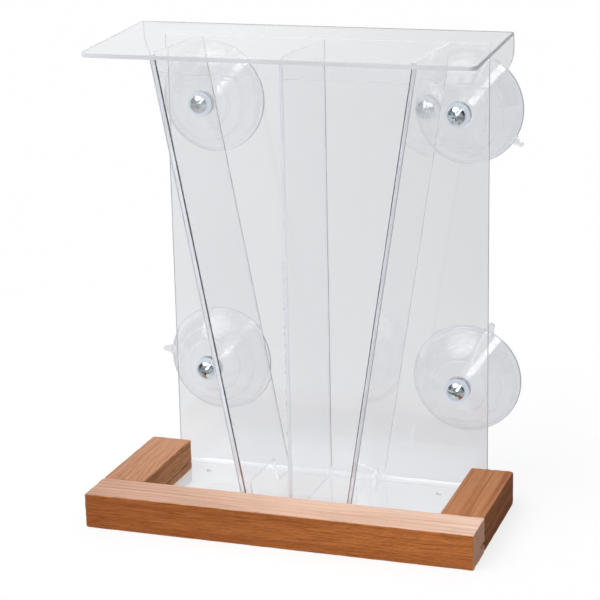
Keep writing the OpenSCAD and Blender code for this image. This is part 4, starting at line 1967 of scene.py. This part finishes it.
    def build(self) -> None:
        """Sets up the whole studio."""
        self.build_camera()
        self.build_floor()
        self.build_world()
        self.add_sun()
        bpy.context.scene.view_settings.view_transform = "Standard"


def main() -> None:
    """Builds and dresses the feeder and its studio, piece by piece."""
    logging.basicConfig(level=logging.INFO, format="%(message)s")
    face = ClearFinish("clear_acrylic_face", 1.49, (0.0, 0.02), (0.90, 0.905, 0.915),
                       clear=(0.994, 0.996, 0.998), grime_and_painted_shade=(0.004, 0.02), ripple=0.02 * MM).build()
    # Sawn edges are matt and carry a painted emission glow
    sawn = ClearFinish("clear_acrylic_edge", 1.49, (0.08, 0.15), (0.86, 0.87, 0.89), clear=(0.97, 0.98, 0.99),
                       grime_and_painted_shade=(0.74, 0.92), painted_top_dimming=0.6, dust_and_painted_shade=(0.82, 0.83, 0.86), grain_scale=1800.0,
                       painted_edge_glow=(0.0, 0.11))
    edge = sawn.build()
    # Dull and soft are painted shade, with a darker matt tone and less glow; port is painted light, with a
    # stronger glow and no dimmed top
    dull, soft, port = (replace(sawn, name=f"clear_acrylic_{word}_edge", **looks).build() for word, looks in (
        ("dull", {"dust_and_painted_shade": (0.62, 0.63, 0.66), "painted_edge_glow": (0.0, 0.08)}),
        ("soft", {"dust_and_painted_shade": (0.75, 0.76, 0.79), "painted_edge_glow": (0.0, 0.10)}),
        ("port", {"painted_top_dimming": 0.0, "painted_edge_glow": (0.0, 0.17)})))
    # Painted shade and light: the lip is dark to draw the rim's dark outline, with a painted glow on it
    lip = ClearFinish("clear_vinyl_lip", 1.53, (0.02, 0.06), (0.80, 0.83, 0.88), clear=(0.36, 0.41, 0.48),
                      grime_and_painted_shade=(0.2, 0.3), dust_and_painted_shade=(0.20, 0.21, 0.24), painted_edge_glow=(0.0, 0.26),
                      glow=(0.96, 0.97, 1.0)).build()
    soft_vinyl = ClearFinish("clear_vinyl", 1.53, (0.0, 0.03), (0.90, 0.91, 0.93),
                             clear=(0.955, 0.965, 0.985), grime_and_painted_shade=(0.005, 0.02), ringed=0.16,
                             dust_and_painted_shade=(0.85, 0.86, 0.88), ripple=0.08 * MM, ripple_scale=60.0)
    vinyl = soft_vinyl.build()
    neck = replace(soft_vinyl, name="clear_vinyl_neck", roughness=(0.02, 0.06), clear=(0.68, 0.80, 0.93),
                   grime_and_painted_shade=(0.0, 0.0), ringed=0.0).build()
    cement = CementFinish("joint_cement").build()
    pale = CementFinish("bubbled_cement", (0.16, 0.15, 0.15), (0.45, 0.45, 0.46)).build()
    plating = PlatedFinish("chrome_plating").build()
    # Painted shade: a darker plating in the screws' recesses
    recess = PlatedFinish("recess_painted_shade", (0.10, 0.11, 0.12), (0.03, 0.03, 0.03), 0.3).build()
    CedarTray().build()
    hopper = SeedHopper()
    hopper.build(face, edge, dull, soft, port)
    JointCement(hopper).build(cement, pale)
    LiftOffRoof().build(face, edge)
    SuctionCups().build(vinyl, neck, lip, plating, recess)
    Studio().build()


if __name__ == "__main__":
    main()
